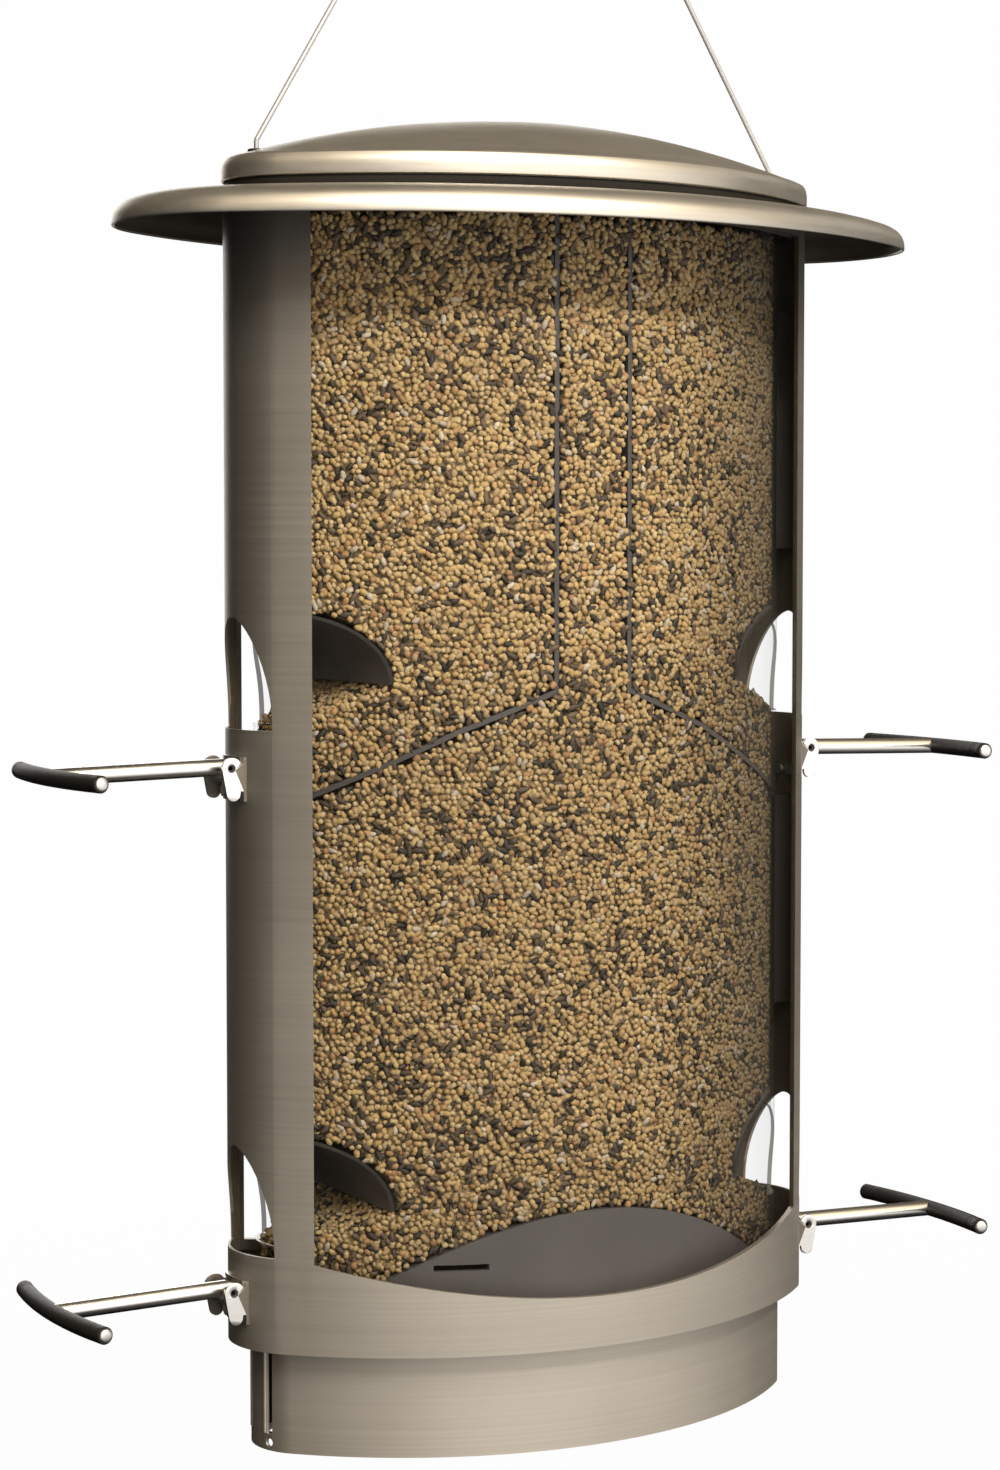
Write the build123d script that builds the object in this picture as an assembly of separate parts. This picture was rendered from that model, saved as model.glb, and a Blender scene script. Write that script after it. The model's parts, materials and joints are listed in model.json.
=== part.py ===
from build123d import *
import math
import os

# Hanging seed feeder with a weight-operated metal shroud over a clear hopper.
# Millimetres.  Heights below are measured from the bottom of the base skirt;
# the finished nodes are shifted so that the centre of the hanging eye is the
# origin (X across the four perches, -Y the front, +Z up).

# ---------------------------------------------------------------- driving sizes
OV_A, OV_B, OV_R = 96.5, 53.3, 24.3      # shroud oval: half length, half depth, end radius
BRIM_A, BRIM_B, BRIM_R = 129.6, 74.7, 45.5
SHEET = 0.8                              # pressed steel sheet
HEM = 1.0                                # folded hem, extra thickness

Z_SHROUD0, Z_SHROUD1 = 31.0, 366.0
TRAVEL = 30.0                            # shroud drop that closes the ports
CUT_NEAR, CUT_FAR = 82.0, 85.2           # the front cut-out runs from -CUT_NEAR to CUT_FAR; the back one is its half-turn copy
SCOOP_CORNER, SCOOP_MID = 57.5, 46.0     # height of the scoop edge at the corners / middle
CUT_TOP = 360.0

WIN_W = 15.6                             # end windows, half width
WIN_LO, WIN_LO_H = 58.8, 31.2            # lower window sill and height
WIN_UP, WIN_UP_H = 211.8, 32.4           # upper window sill and height
PORT_W = 13.2                            # ports in the clear tube, half width

SKIRT_I = 6.7                            # base skirt inset from the shroud oval
TUBE_I, TUBE_T = 8.0, 1.1                # clear tube inset and wall
Z_TUBE0, Z_TUBE1 = 41.0, 368.9
FLOOR_PEAK, FLOOR_END = 69.5, 47.0
Z_PLATE = 3.6                            # top of the base plate

PIN_X = 100.0                            # perch pivot distance from the middle
PERCH_Z = (48.0, 200.8)                  # lower and upper perch heights
STEM_R = 2.5
BAR_X = 152.6                            # middle of the cross bar
BAR_HALF = 32.5                          # half length of the cross bar
BAR_ARC = 176.0                          # bend radius of the cross bar
GRIP_R, CORE_R = 2.55, 1.6
SAG = 1.3                                # perches rest this many degrees below level
EAR_Y0, EAR_Y1 = 6.6, 7.6                # bracket ears

HOOD_A, HOOD_H, HOOD_T = 29.5, 21.3, 1.0 # quarter-ellipse hoods over the ports
HOOD_Z = (71.9, 224.9)                   # height of the hood tips
DIV_X = 13.0                             # central chute half width
DIV_T = 1.5

ROOF_T = 0.9
Z_GROOVE = 368.6                         # crown meets brim
Z_SHOULDER = 377.0
Z_TOP = 391.2
HOLE_X = 88.0                            # cable holes in the crown

CABLE_R = 0.75
EYE_Z = 510.0                            # centre of the hanging eye
EYE_BORE, EYE_GROOVE, EYE_FLANGE, EYE_W = 5.0, 8.25, 10.4, 4.6
Z_EXIT = 381.5                           # free cable leaves the crown here

SHIFT = Pos(0, 0, -EYE_Z)


# ---------------------------------------------------------------- helpers
def oval_wire(a, b, r, z):
    cx, by = a - r, b - r
    yc = (cx * cx - by * by) / (2 * by)
    big = b + yc
    h = math.hypot(cx, yc)
    xt, yt = big * cx / h, big * yc / h - yc
    return Wire([
        ThreePointArc((xt, -yt, z), (a, 0, z), (xt, yt, z)).edge(),
        ThreePointArc((xt, yt, z), (0, b, z), (-xt, yt, z)).edge(),
        ThreePointArc((-xt, yt, z), (-a, 0, z), (-xt, -yt, z)).edge(),
        ThreePointArc((-xt, -yt, z), (0, -b, z), (xt, -yt, z)).edge(),
    ])


def oval_abr(i):
    return OV_A - i, OV_B - i, OV_R - i


def solid_of(shape):
    s = shape.solids()
    return s[0] if len(s) == 1 else Compound(children=list(s))


def prism(i, z0, z1):
    face = Face(oval_wire(*oval_abr(i), z0))
    return extrude(face, amount=z1 - z0, dir=(0, 0, 1))


def ring(i_out, i_in, z0, z1):
    return prism(i_out, z0, z1) - prism(i_in, z0 - 1, z1 + 1)


def box(x0, x1, y0, y1, z0, z1):
    return Pos((x0 + x1) / 2, (y0 + y1) / 2, (z0 + z1) / 2) * Box(abs(x1 - x0), abs(y1 - y0), abs(z1 - z0))


def cyl_z(x, y, z0, z1, r):
    return Pos(x, y, (z0 + z1) / 2) * Cylinder(r, z1 - z0)


def cyl_x(x0, x1, y, z, r):
    return Pos((x0 + x1) / 2, y, z) * Rot(0, 90, 0) * Cylinder(r, abs(x1 - x0))


def cyl_y(x, y0, y1, z, r):
    return Pos(x, (y0 + y1) / 2, z) * Rot(90, 0, 0) * Cylinder(r, abs(y1 - y0))


def xz_bar(points, half_y):
    """Extrude a closed XZ polygon to +-half_y."""
    wire = Wire([Line((p[0], 0, p[1]), (q[0], 0, q[1])).edge()
                 for p, q in zip(points, points[1:] + points[:1])])
    return extrude(Face(wire), amount=half_y, dir=(0, 1, 0), both=True)


def arch(half_w, sill, height, straight, x0, x1, sign):
    """Arch-topped cutter through one end wall, along X."""
    rise = height - straight
    rx = Plane.YZ * (Pos(0, sill + straight) * Ellipse(half_w, rise))
    lower = Plane.YZ * (Pos(0, sill + straight - rise) * Rectangle(4 * half_w, 2 * rise))
    low = Plane.YZ * (Pos(0, sill + straight / 2) * Rectangle(2 * half_w, straight))
    face = (rx - lower) + low
    body = extrude(face, amount=x1 - x0, dir=(1, 0, 0))
    return Pos(x0 if sign > 0 else -x1, 0, 0) * body


def loft_ovals(levels):
    return loft([Face(oval_wire(a, b, r, z)) for a, b, r, z in levels], ruled=True)


def floor_z(x, drop=0.0):
    return max(FLOOR_PEAK - 19.0 * (x / 62.0) ** 2, FLOOR_END) - drop


def floor_profile(drop, x_end=90.0, base=0.0):
    """XZ polygon under the arched floor surface, lowered by drop."""
    xe = 62.0 * math.sqrt((FLOOR_PEAK - FLOOR_END) / 19.0)
    xs = [-x_end, -xe] + [xe * (k / 12.0) for k in range(-11, 12)] + [xe, x_end]
    return [(x, floor_z(x, drop)) for x in xs] + [(x_end, base), (-x_end, base)]


nodes = {}

# ---------------------------------------------------------------- shroud
def opening(x0, x1, grow=0.0):
    """Cut-out outline with its curved lower edge, taken through front and back."""
    x0, x1, xm = x0 - grow, x1 + grow, (x0 + x1) / 2
    wire = Wire([
        ThreePointArc((x0, 0, SCOOP_CORNER - grow), (xm, 0, SCOOP_MID - grow), (x1, 0, SCOOP_CORNER - grow)).edge(),
        Line((x1, 0, SCOOP_CORNER - grow), (x1, 0, CUT_TOP + grow)).edge(),
        Line((x1, 0, CUT_TOP + grow), (x0, 0, CUT_TOP + grow)).edge(),
        Line((x0, 0, CUT_TOP + grow), (x0, 0, SCOOP_CORNER - grow)).edge(),
    ])
    return extrude(Face(wire), amount=80, dir=(0, 1, 0), both=True)


def front_half():
    return box(-120, 120, -90, 0, 0, 400)


def back_half():
    return box(-120, 120, 0, 90, 0, 400)


cutout = (opening(-CUT_NEAR, CUT_FAR) & front_half()) + (opening(-CUT_FAR, CUT_NEAR) & back_half())
hem_zone = (opening(-CUT_NEAR, CUT_FAR, 2.6) & front_half()) + (opening(-CUT_FAR, CUT_NEAR, 2.6) & back_half())

shell = ring(0, SHEET, Z_SHROUD0, Z_SHROUD1)
hem = ring(SHEET, SHEET + HEM, Z_SHROUD0 + 6, Z_SHROUD1) & hem_zone
bottom_hem = ring(SHEET, SHEET + HEM, Z_SHROUD0, Z_SHROUD0 + 2.6)
shell = shell + hem + bottom_hem - cutout
for s in (-1, 1):
    shell -= arch(WIN_W, WIN_LO, WIN_LO_H, 1.0, 60, 120, s)
    shell -= arch(WIN_W, WIN_UP, WIN_UP_H, 1.0, 60, 120, s)
rivet_pos = [(s, z, y) for s in (-1, 1) for z in (PERCH_Z[0] - 7.0, PERCH_Z[1] - 7.0) for y in (-3.2, 3.2)]
for s, z, y in rivet_pos:
    shell -= cyl_x(s * 90, s * 110, y, z, 1.25)
nodes["shroud_shell"] = shell

# glide pads riveted inside the end panels, running on the clear tube
pads = None
for s in (-1, 1):
    for z0, z1 in ((120.0, 186.0), (264.0, 338.0)):
        p = (ring(SHEET + 0.05, TUBE_I - 0.4, z0, z1) & box(s * 80, s * 110, -4.5, 4.5, z0 - 1, z1 + 1))
        pads = p if pads is None else pads + p
nodes["glide_pads"] = pads

# ---------------------------------------------------------------- spring yoke
YK_LOW, YK_HIGH, YK_T = 36.5, 57.0, 1.5
half = [(95.7 - 1.5, 45.5), (95.7, 45.5), (95.7, YK_LOW), (64.0, YK_LOW), (38.0, YK_HIGH), (0.0, YK_HIGH)]
half_up = [(0.0, YK_HIGH + YK_T), (38.6, YK_HIGH + YK_T), (64.6, YK_LOW + YK_T), (95.7 - 1.5, YK_LOW + YK_T)]
outline = half + [(-x, z) for x, z in reversed(half[:-1])]
outline += [(-x, z) for x, z in reversed(half_up[1:])] + half_up[1:]
yoke = xz_bar(outline, 7.2)
for s in (-1, 1):
    # the arm narrows to two fingers where it passes through the skirt's slits
    yoke -= box(s * 84.5, s * 92.0, -5.7, 5.7, 30.0, 42.0)
inner_cap = prism(SHEET, 20, 60)
yoke = yoke & inner_cap
for s, z, y in rivet_pos:
    if z < 100:
        yoke -= cyl_x(s * 85, s * 110, y, z, 1.25)
nodes["spring_yoke"] = yoke

# ---------------------------------------------------------------- perch brackets
def pear(zp, s, y0, y1):
    """Pear-shaped ear: wide at the pin, narrow at the rivets, with a short root on the plate."""
    cx, lx = s * (PIN_X - 0.2), s * (PIN_X - 0.6)
    wide = cyl_y(cx, y0, y1, zp, 3.1)
    low = cyl_y(lx, y0, y1, zp - 7.3, 2.1)
    pts = [(cx - 3.05 * s, zp - 0.4), (cx + 3.07 * s, zp - 0.4), (lx + 2.08 * s, zp - 7.6), (lx - 2.08 * s, zp - 7.6)]
    wire = Wire([Line((p[0], 0, p[1]), (q[0], 0, q[1])).edge() for p, q in zip(pts, pts[1:] + pts[:1])])
    web = Pos(0, (y0 + y1) / 2, 0) * extrude(Face(wire), amount=(y1 - y0) / 2, dir=(0, 1, 0), both=True)
    root = box(s * 94.5, s * 98.0, y0, y1, zp - 6.6, zp + 1.6)
    return (wide + low + web + root) - prism(0.0, zp - 30, zp + 30)


def bracket(zp, s):
    web = (ring(-0.9, 0.0, zp - 9.6, zp + 3.2) & box(s * 90, s * 110, -EAR_Y1, EAR_Y1, zp - 12, zp + 5))
    b = web
    for y0, y1 in ((-EAR_Y1, -EAR_Y0), (EAR_Y0, EAR_Y1)):
        b += pear(zp, s, y0, y1)
    tab = box(s * 96.6, s * 101.6, -EAR_Y0 - 0.2, EAR_Y0 + 0.2, zp - STEM_R - 1.45, zp - STEM_R - 0.35) - prism(0.0, zp - 30, zp + 30)
    b += tab
    b -= cyl_y(s * PIN_X, -12, 12, zp, 1.25)
    for y in (-3.2, 3.2):
        b -= cyl_x(s * 90, s * 110, y, zp - 7.0, 1.25)
    return b


sides = {"left": -1, "right": 1}
levels = {"lower": PERCH_Z[0], "upper": PERCH_Z[1]}
rivets = None
pins = None
for lv, zp in levels.items():
    for sd, s in sides.items():
        nodes[f"perch_bracket_{lv}_{sd}"] = bracket(zp, s)
        # tubular pivot pin, pressed into the ears and set back from their faces
        pin = cyl_y(s * PIN_X, -EAR_Y1 + 0.6, EAR_Y1 - 0.6, zp, 1.2)
        pin += cyl_y(s * PIN_X, -EAR_Y1 + 0.6, -EAR_Y0, zp, 1.25)
        pin += cyl_y(s * PIN_X, EAR_Y0, EAR_Y1 - 0.6, zp, 1.25)
        pin -= cyl_y(s * PIN_X, -EAR_Y1 - 2, EAR_Y1 + 2, zp, 0.7)
        pins = pin if pins is None else pins + pin
        for y in (-3.2, 3.2):
            z = zp - 7.0
            inner = 94.2 if zp < 100 else 95.1
            rv = cyl_x(s * (inner - 0.7), s * 98.2, y, z, 1.2)
            rv += cyl_x(s * 97.45, s * 98.25, y, z, 1.7)
            rv += cyl_x(s * (inner - 0.8), s * inner, y, z, 1.7)
            rivets = rv if rivets is None else rivets + rv
nodes["pivot_pins"] = pins
nodes["bracket_rivets"] = rivets


# ---------------------------------------------------------------- perches
def bar_arc(s, half_len):
    """Centre line of the cross bar in the XY plane, ends bent towards the feeder."""
    ang = half_len / BAR_ARC
    xe = BAR_X - BAR_ARC * (1 - math.cos(ang))
    ye = BAR_ARC * math.sin(ang)
    return ThreePointArc((s * xe, -ye, 0), (s * BAR_X, 0, 0), (s * xe, ye, 0)), xe, ye, ang


def swept_bar(s, half_len, r):
    arc, xe, ye, ang = bar_arc(s, half_len)
    plane = Plane(origin=arc @ 0, z_dir=arc % 0)
    return sweep(plane * Circle(r), path=arc)


for lv, zp in levels.items():
    for sd, s in sides.items():
        up = Pos(s * PIN_X, 0, zp) * Rot(0, s * SAG, 0) * Pos(-s * PIN_X, 0, 0)
        hub = cyl_y(s * PIN_X, -2.45, 2.45, 0, 2.45)
        rod = cyl_x(s * PIN_X, s * BAR_X, 0, 0, STEM_R)
        core = swept_bar(s, BAR_HALF, CORE_R)
        stem = (rod & box(s * (PIN_X - 1), s * (BAR_X + 5), -4, 4, -4, 4)) + (hub & cyl_x(s * (PIN_X - 4), s * (PIN_X + 4), 0, 0, STEM_R)) + core
        stem -= cyl_y(s * PIN_X, -6, 6, 0, 1.25)
        nodes[f"perch_stem_{lv}_{sd}"] = up * stem
        grip = swept_bar(s, BAR_HALF - 1.2, GRIP_R) - stem
        nodes[f"perch_grip_{lv}_{sd}"] = up * grip
        caps = None
        arc, xe, ye, ang = bar_arc(s, BAR_HALF)
        outer = swept_bar(s, BAR_HALF, GRIP_R) - swept_bar(s, BAR_HALF - 1.2, GRIP_R + 0.5) - core
        for e in (-1, 1):
            dome = Pos(s * xe, e * ye, 0) * Sphere(GRIP_R)
            # keep the outer half of the sphere beyond the end plane
            t = Vector(-s * math.sin(ang) * 1.0, e * math.cos(ang), 0)
            pl = Plane(origin=(s * xe, e * ye, 0), z_dir=t)
            keep = pl * (Pos(0, 0, 4) * Box(10, 10, 8))
            cap = (dome & keep) & (pl * (Pos(0, 0, 0) * Box(10, 10, 2 * 1.1)))
            outer = outer + cap
        nodes[f"perch_end_plugs_{lv}_{sd}"] = up * outer

# ---------------------------------------------------------------- clear tube
tube = ring(TUBE_I, TUBE_I + TUBE_T, Z_TUBE0, Z_TUBE1)
for s in (-1, 1):
    tube -= arch(PORT_W, 60.5, 26.5, 1.5, 60, 120, s)
    tube -= arch(PORT_W, 213.5, 27.5, 1.5, 60, 120, s)
    tube -= box(s * 82, s * 95, -4.0, 4.0, 362.0, 380.0)
nodes["reservoir_tube"] = tube

CORE_I = TUBE_I + TUBE_T + 0.2           # inserts inside the tube
core_prism = prism(CORE_I, 0, 400)

# hopper divider: central chute and two sloping shelves
dv = None
for s in (-1, 1):
    top = [(DIV_X, 223.0), (41.0, 212.0), (73.0, 196.0), (92.0, 186.0)]
    pts = [(s * x, z) for x, z in top] + [(s * x, z - DIV_T * 1.1) for x, z in reversed(top)]
    pts += [(s * (DIV_X - DIV_T), 223.0 - DIV_T), (s * (DIV_X - DIV_T), 365.0), (s * DIV_X, 365.0)]
    plate = xz_bar(pts, 60.0) & core_prism
    dv = plate if dv is None else dv + plate
dv += box(-DIV_X + 0.2, DIV_X - 0.2, -2.0, 2.0, 361.0, 365.0)
nodes["hopper_divider"] = dv


# port hoods
def hood(zc, s):
    big = Plane.XZ * (Pos(0, 0) * Ellipse(HOOD_A, HOOD_H))
    small = Plane.XZ * (Pos(0, 0) * Ellipse(HOOD_A - HOOD_T, HOOD_H - HOOD_T))
    face = big - small
    body = Pos(s * 88.0, 0, zc) * extrude(face, amount=60, both=True)
    zone = box(s * 50, s * 95, -60, 60, zc, zc + 30)
    return body & zone & core_prism


hoods = None
for zc in HOOD_Z:
    for s in (-1, 1):
        h = hood(zc, s)
        hoods = h if hoods is None else hoods + h
nodes["port_hoods"] = hoods

# ---------------------------------------------------------------- seed floor
wall = ring(CORE_I, CORE_I + 2.0, 32.0, 75.0) & xz_bar(floor_profile(0.0, base=20.0), 60)
sheet = (xz_bar(floor_profile(0.0, base=20.0), 60) - xz_bar(floor_profile(2.4, base=10.0), 60)) & prism(CORE_I, 20, 90)
ledge = ring(SKIRT_I + SHEET + 0.1, CORE_I + 2.0, 38.0, Z_TUBE0 - 0.1)
floor = wall + sheet + ledge
for s in (-1, 1):
    floor -= box(s * 60, s * 100, -8.0, 8.0, 20.0, 43.5)
    floor += (box(s * 8.0, s * 14.0, -6.0, 6.0, YK_HIGH + YK_T + 0.3, 67.8)) & xz_bar(floor_profile(1.0, base=10.0), 60)
BOSS = [(sx * 50.0, sy * 20.0) for sx in (-1, 1) for sy in (-1, 1)]
for bx, by in BOSS:
    floor += (cyl_z(bx, by, Z_PLATE, 60.0, 3.6)) & xz_bar(floor_profile(1.0, base=0.0), 60)
for bx, by in BOSS:
    floor -= cyl_z(bx, by, 0.0, 22.0, 1.25)
for s in (-1, 1):
    floor -= box(s * 33.0, s * 48.4, s * 20.0, s * 60.0, 54.1, 55.9)
nodes["seed_floor"] = floor

# ---------------------------------------------------------------- base
skirt = ring(SKIRT_I, SKIRT_I + SHEET, 0.0, 44.0)
skirt += ring(SKIRT_I, SKIRT_I + 3.4, Z_PLATE, Z_PLATE + SHEET)
for s in (-1, 1):
    for e in (-1, 1):
        skirt -= box(s * 80, s * 110, e * 5.4, e * 7.5, 5.0, 60.0)
        skirt -= cyl_x(s * 86.9, s * 110, e * 6.4, 2.4, 1.25)
        # raised bead beside each slit
        skirt += cyl_z(s * 89.0, e * 4.5, 5.0, 43.5, 0.65)
nodes["base_skirt"] = skirt

plate = prism(SKIRT_I + SHEET + 0.1, Z_PLATE - 2.0, Z_PLATE) + ring(SKIRT_I + SHEET + 0.1, SKIRT_I + SHEET + 2.1, 0.0, Z_PLATE - 1.9)
for s in (-1, 1):
    plate -= box(s * 68, s * 110, -9.0, 9.0, -1.0, 10.0)
    plate += cyl_z(s * 24.0, 0, Z_PLATE - 0.5, 21.0, 2.6)
    plate += cyl_z(s * 24.0, 0, Z_PLATE - 0.5, Z_PLATE + 1.0, 5.6)
for bx, by in BOSS:
    plate -= cyl_z(bx, by, 0.0, 8.0, 1.7)
for x in (-36.0, -12.0, 0.0, 12.0, 36.0):
    for y in (-24.0, -12.0, 12.0, 24.0):
        plate -= cyl_z(x, y, 0.0, 8.0, 2.2)
nodes["base_plate"] = plate

screws = None
for bx, by in BOSS:
    sc = cyl_z(bx, by, 0.3, Z_PLATE - 2.0, 2.9) + cyl_z(bx, by, 1.0, 16.0, 1.2)
    sc -= cyl_z(bx, by, 0.0, 1.0, 1.0)
    screws = sc if screws is None else screws + sc
nodes["base_screws"] = screws

# return springs, plain sleeves of the coils' outer and inner size
springs = None
for s in (-1, 1):
    sp = cyl_z(s * 24.0, 0, Z_PLATE + 1.05, YK_HIGH - 0.05, 4.7) - cyl_z(s * 24.0, 0, 3.0, 60.0, 3.5)
    springs = sp if springs is None else springs + sp
nodes["return_springs"] = springs

# ---------------------------------------------------------------- top collar and cable anchors
COLLAR_I = 5.4
collar = ring(COLLAR_I, TUBE_I - 0.1, 361.5, 369.0) + ring(COLLAR_I, 12.0, 369.0, 371.5)
for s in (-1, 1):
    collar -= cyl_z(s * HOLE_X, 0, 360, 380, 1.1)
    collar -= cyl_z(s * HOLE_X, 0, 360, 369.0, 2.2)
SCX = 14.0
def oval_y(x, i):
    yc = ((OV_A - OV_R) ** 2 - (OV_B - OV_R) ** 2) / (2 * (OV_B - OV_R))
    return math.sqrt((OV_B - i + yc) ** 2 - x * x) - yc
cscrews = None
for sx in (-1, 1):
    for sy in (-1, 1):
        yo = oval_y(SCX, COLLAR_I)
        collar -= cyl_y(sx * SCX, sy * (yo - 8), sy * (yo + 8), 365.5, 1.2)
        collar -= cyl_y(sx * SCX, sy * (yo - 1.4), sy * (yo + 8), 365.5, 2.2)
        tube -= cyl_y(sx * SCX, sy * (yo - 10), sy * (yo + 8), 365.5, 1.2)
        sc = cyl_y(sx * SCX, sy * (yo - 5.0), sy * (yo - 0.6), 365.5, 1.1)
        sc += cyl_y(sx * SCX, sy * (yo - 1.35), sy * (yo - 0.4), 365.5, 2.1)
        cscrews = sc if cscrews is None else cscrews + sc
nodes["reservoir_tube"] = tube
nodes["top_collar"] = collar
nodes["collar_screws"] = cscrews - collar

ferrules = None
tails = None
for s in (-1, 1):
    f = cyl_z(s * HOLE_X, 0, 363.0, 369.0, 1.9) - cyl_z(s * HOLE_X, 0, 362, 370, CABLE_R)
    t = cyl_z(s * HOLE_X, 0, 362.4, Z_EXIT, CABLE_R)
    ferrules = f if ferrules is None else ferrules + f
    tails = t if tails is None else tails + t
nodes["cable_ferrules"] = ferrules
nodes["cable_tails"] = tails

# ---------------------------------------------------------------- roof
def wall_abr(t):
    """Oval between the crown wall (t=0) and the brim edge (t=1)."""
    a0, b0, r0 = oval_abr(-0.6)
    return (a0 + (BRIM_A - a0) * t, b0 + (BRIM_B - b0) * t, r0 + (BRIM_R - r0) * t)


def dome_levels(d):
    """Crown outline levels, shifted inwards and down by d for the inside."""
    out = []
    for i, z in ((-0.6, Z_GROOVE), (-0.6, 373.4), (-0.2, 375.0), (0.9, 376.3)):
        a, b, r = oval_abr(i + d)
        zz = z if z == Z_GROOVE else z - d * (0.0 if z < 374 else (0.55 if z < 376.0 else 0.9))
        out.append((a, b, r, zz))
    a2, b2, r2 = oval_abr(2.4 + d * 0.4)
    for k in (1.0, 0.93, 0.85, 0.75, 0.63, 0.5, 0.36, 0.2, 0.06):
        out.append((a2 * k, b2 * k, r2 * k, Z_TOP - (Z_TOP - Z_SHOULDER) * k * k - d))
    return out


def crown_solid(d, z0=None):
    lv = dome_levels(d)
    if z0 is not None:
        a, b, r, _ = lv[0]
        lv[0] = (a, b, r, z0)
    return loft_ovals(lv)


crown_outer = crown_solid(0.0)
crown_inner = crown_solid(ROOF_T, Z_GROOVE - 12.0)
crown = crown_outer - crown_inner
brim_lv = [(0.0, 368.2), (0.12, 366.6), (0.45, 365.9), (0.78, 364.4), (0.89, 363.1), (0.955, 361.6), (0.988, 360.0), (1.0, 358.8), (1.0, 356.6)]
brim_outer = loft_ovals([(*wall_abr(t), z) for t, z in reversed(brim_lv)])


def shrink(abr, d):
    return abr[0] - d, abr[1] - d, abr[2] - d


inner_lv = [(0.0, 0.0, 367.2), (0.12, 0.0, 365.6), (0.45, 0.0, 364.9), (0.78, 0.1, 363.4), (0.89, 0.4, 362.1), (0.955, 0.7, 360.6),
            (0.988, 0.9, 359.3), (1.0, 1.0, 358.4), (1.0, 1.0, 350.0)]
brim_inner = loft_ovals([(*shrink(wall_abr(t), d), z) for t, d, z in reversed(inner_lv)])
well = prism(-0.6 + ROOF_T, 340, 380)
brim = brim_outer - brim_inner - well
brim = brim - prism(-0.6, Z_GROOVE - 0.0, 380)
crown = crown - (prism(-8, 340, Z_GROOVE))
hole_cutter = cyl_z(HOLE_X, 0, 350, 400, 2.65) + cyl_z(-HOLE_X, 0, 350, 400, 2.65)
nodes["roof_crown"] = crown - hole_cutter
nodes["roof_brim"] = brim

grommets = None
for s in (-1, 1):
    g = cyl_z(s * HOLE_X, 0, 376.4, 379.8, 2.6) - cyl_z(s * HOLE_X, 0, 370, 390, 1.7)
    grommets = g if grommets is None else grommets + g
nodes["roof_grommets"] = grommets

locator = ring(2.8, 4.6, 360.0, 380.0) + ring(4.0, 7.0, 371.8, 373.4)
locator = locator & crown_solid(ROOF_T + 0.02, 350.0)
for s in (-1, 1):
    locator -= cyl_z(s * HOLE_X, 0, 350, 400, 1.4)
nodes["roof_locating_ring"] = locator

# ---------------------------------------------------------------- hanging cable and eye
pts = [(-HOLE_X, Z_EXIT), (-5.3, EYE_Z + EYE_GROOVE + CABLE_R), (5.3, EYE_Z + EYE_GROOVE + CABLE_R), (HOLE_X, Z_EXIT)]
radii = [EYE_GROOVE + CABLE_R, EYE_GROOVE + CABLE_R]
print("cable corner radii", radii)
path = FilletPolyline(*[(x, 0, z) for x, z in pts], radius=radii)
start = path @ 0
cable = sweep(Plane(origin=start, z_dir=path % 0) * Circle(CABLE_R), path=path)
print("cable length", round(path.length, 1), "section x length", round(math.pi * CABLE_R ** 2 * path.length, 1),
      "volume", round(cable.volume, 1))
nodes["hanger_cable"] = cable

eye_pts = [(EYE_BORE, -EYE_W / 2), (EYE_FLANGE - 0.4, -EYE_W / 2), (EYE_FLANGE, -EYE_W / 2 + 0.5), (EYE_GROOVE + 1.0, -0.95),
           (EYE_GROOVE + 0.12, -0.55), (EYE_GROOVE - 0.12, 0.0), (EYE_GROOVE + 0.12, 0.55), (EYE_GROOVE + 1.0, 0.95),
           (EYE_FLANGE, EYE_W / 2 - 0.5), (EYE_FLANGE - 0.4, EYE_W / 2), (EYE_BORE, EYE_W / 2)]
eye_wire = Wire([Line((p[0], p[1], 0), (q[0], q[1], 0)).edge() for p, q in zip(eye_pts, eye_pts[1:] + eye_pts[:1])])
eye = Pos(0, 0, EYE_Z) * revolve(Face(eye_wire), axis=Axis.Y, revolution_arc=360)
nodes["hanging_eye"] = eye - cable

# ---------------------------------------------------------------- seed
SEED_TOP = 360.5
SEED_I = CORE_I + 0.05
seed_prism = prism(SEED_I, 0, 400)
low_top = [(-87.0, 186.8), (-73.0, 194.0), (-41.0, 210.0), (-DIV_X + 1.6, 220.6), (-DIV_X + 1.6, SEED_TOP),
           (DIV_X - 1.6, SEED_TOP), (DIV_X - 1.6, 220.6), (41.0, 210.0), (73.0, 194.0), (87.0, 186.8)]
xe = 62.0 * math.sqrt((FLOOR_PEAK - FLOOR_END) / 19.0)
fl = [(87.0, FLOOR_END + 0.2), (xe, FLOOR_END + 0.2)] + [(xe * k / 12.0, floor_z(xe * k / 12.0) + 0.2) for k in range(11, -12, -1)] + [(-xe, FLOOR_END + 0.2), (-87.0, FLOOR_END + 0.2)]
seed_low = xz_bar(low_top + fl, 60) & seed_prism


def hood_void(zc, s, pad):
    e = Plane.XZ * Ellipse(HOOD_A + pad, HOOD_H + pad)
    body = Pos(s * 88.0, 0, zc) * extrude(e, amount=60, both=True)
    upper = body & box(s * 50, s * 95, -61, 61, zc - 0.01, zc + 30)
    x_tip = 88.0 - HOOD_A - pad
    wedge = xz_bar([(s * x_tip, zc + 0.01), (s * 95.0, zc + 0.01), (s * 95.0, zc - 13.6), (s * 86.0, zc - 10.6)], 61)
    return upper + wedge


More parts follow.
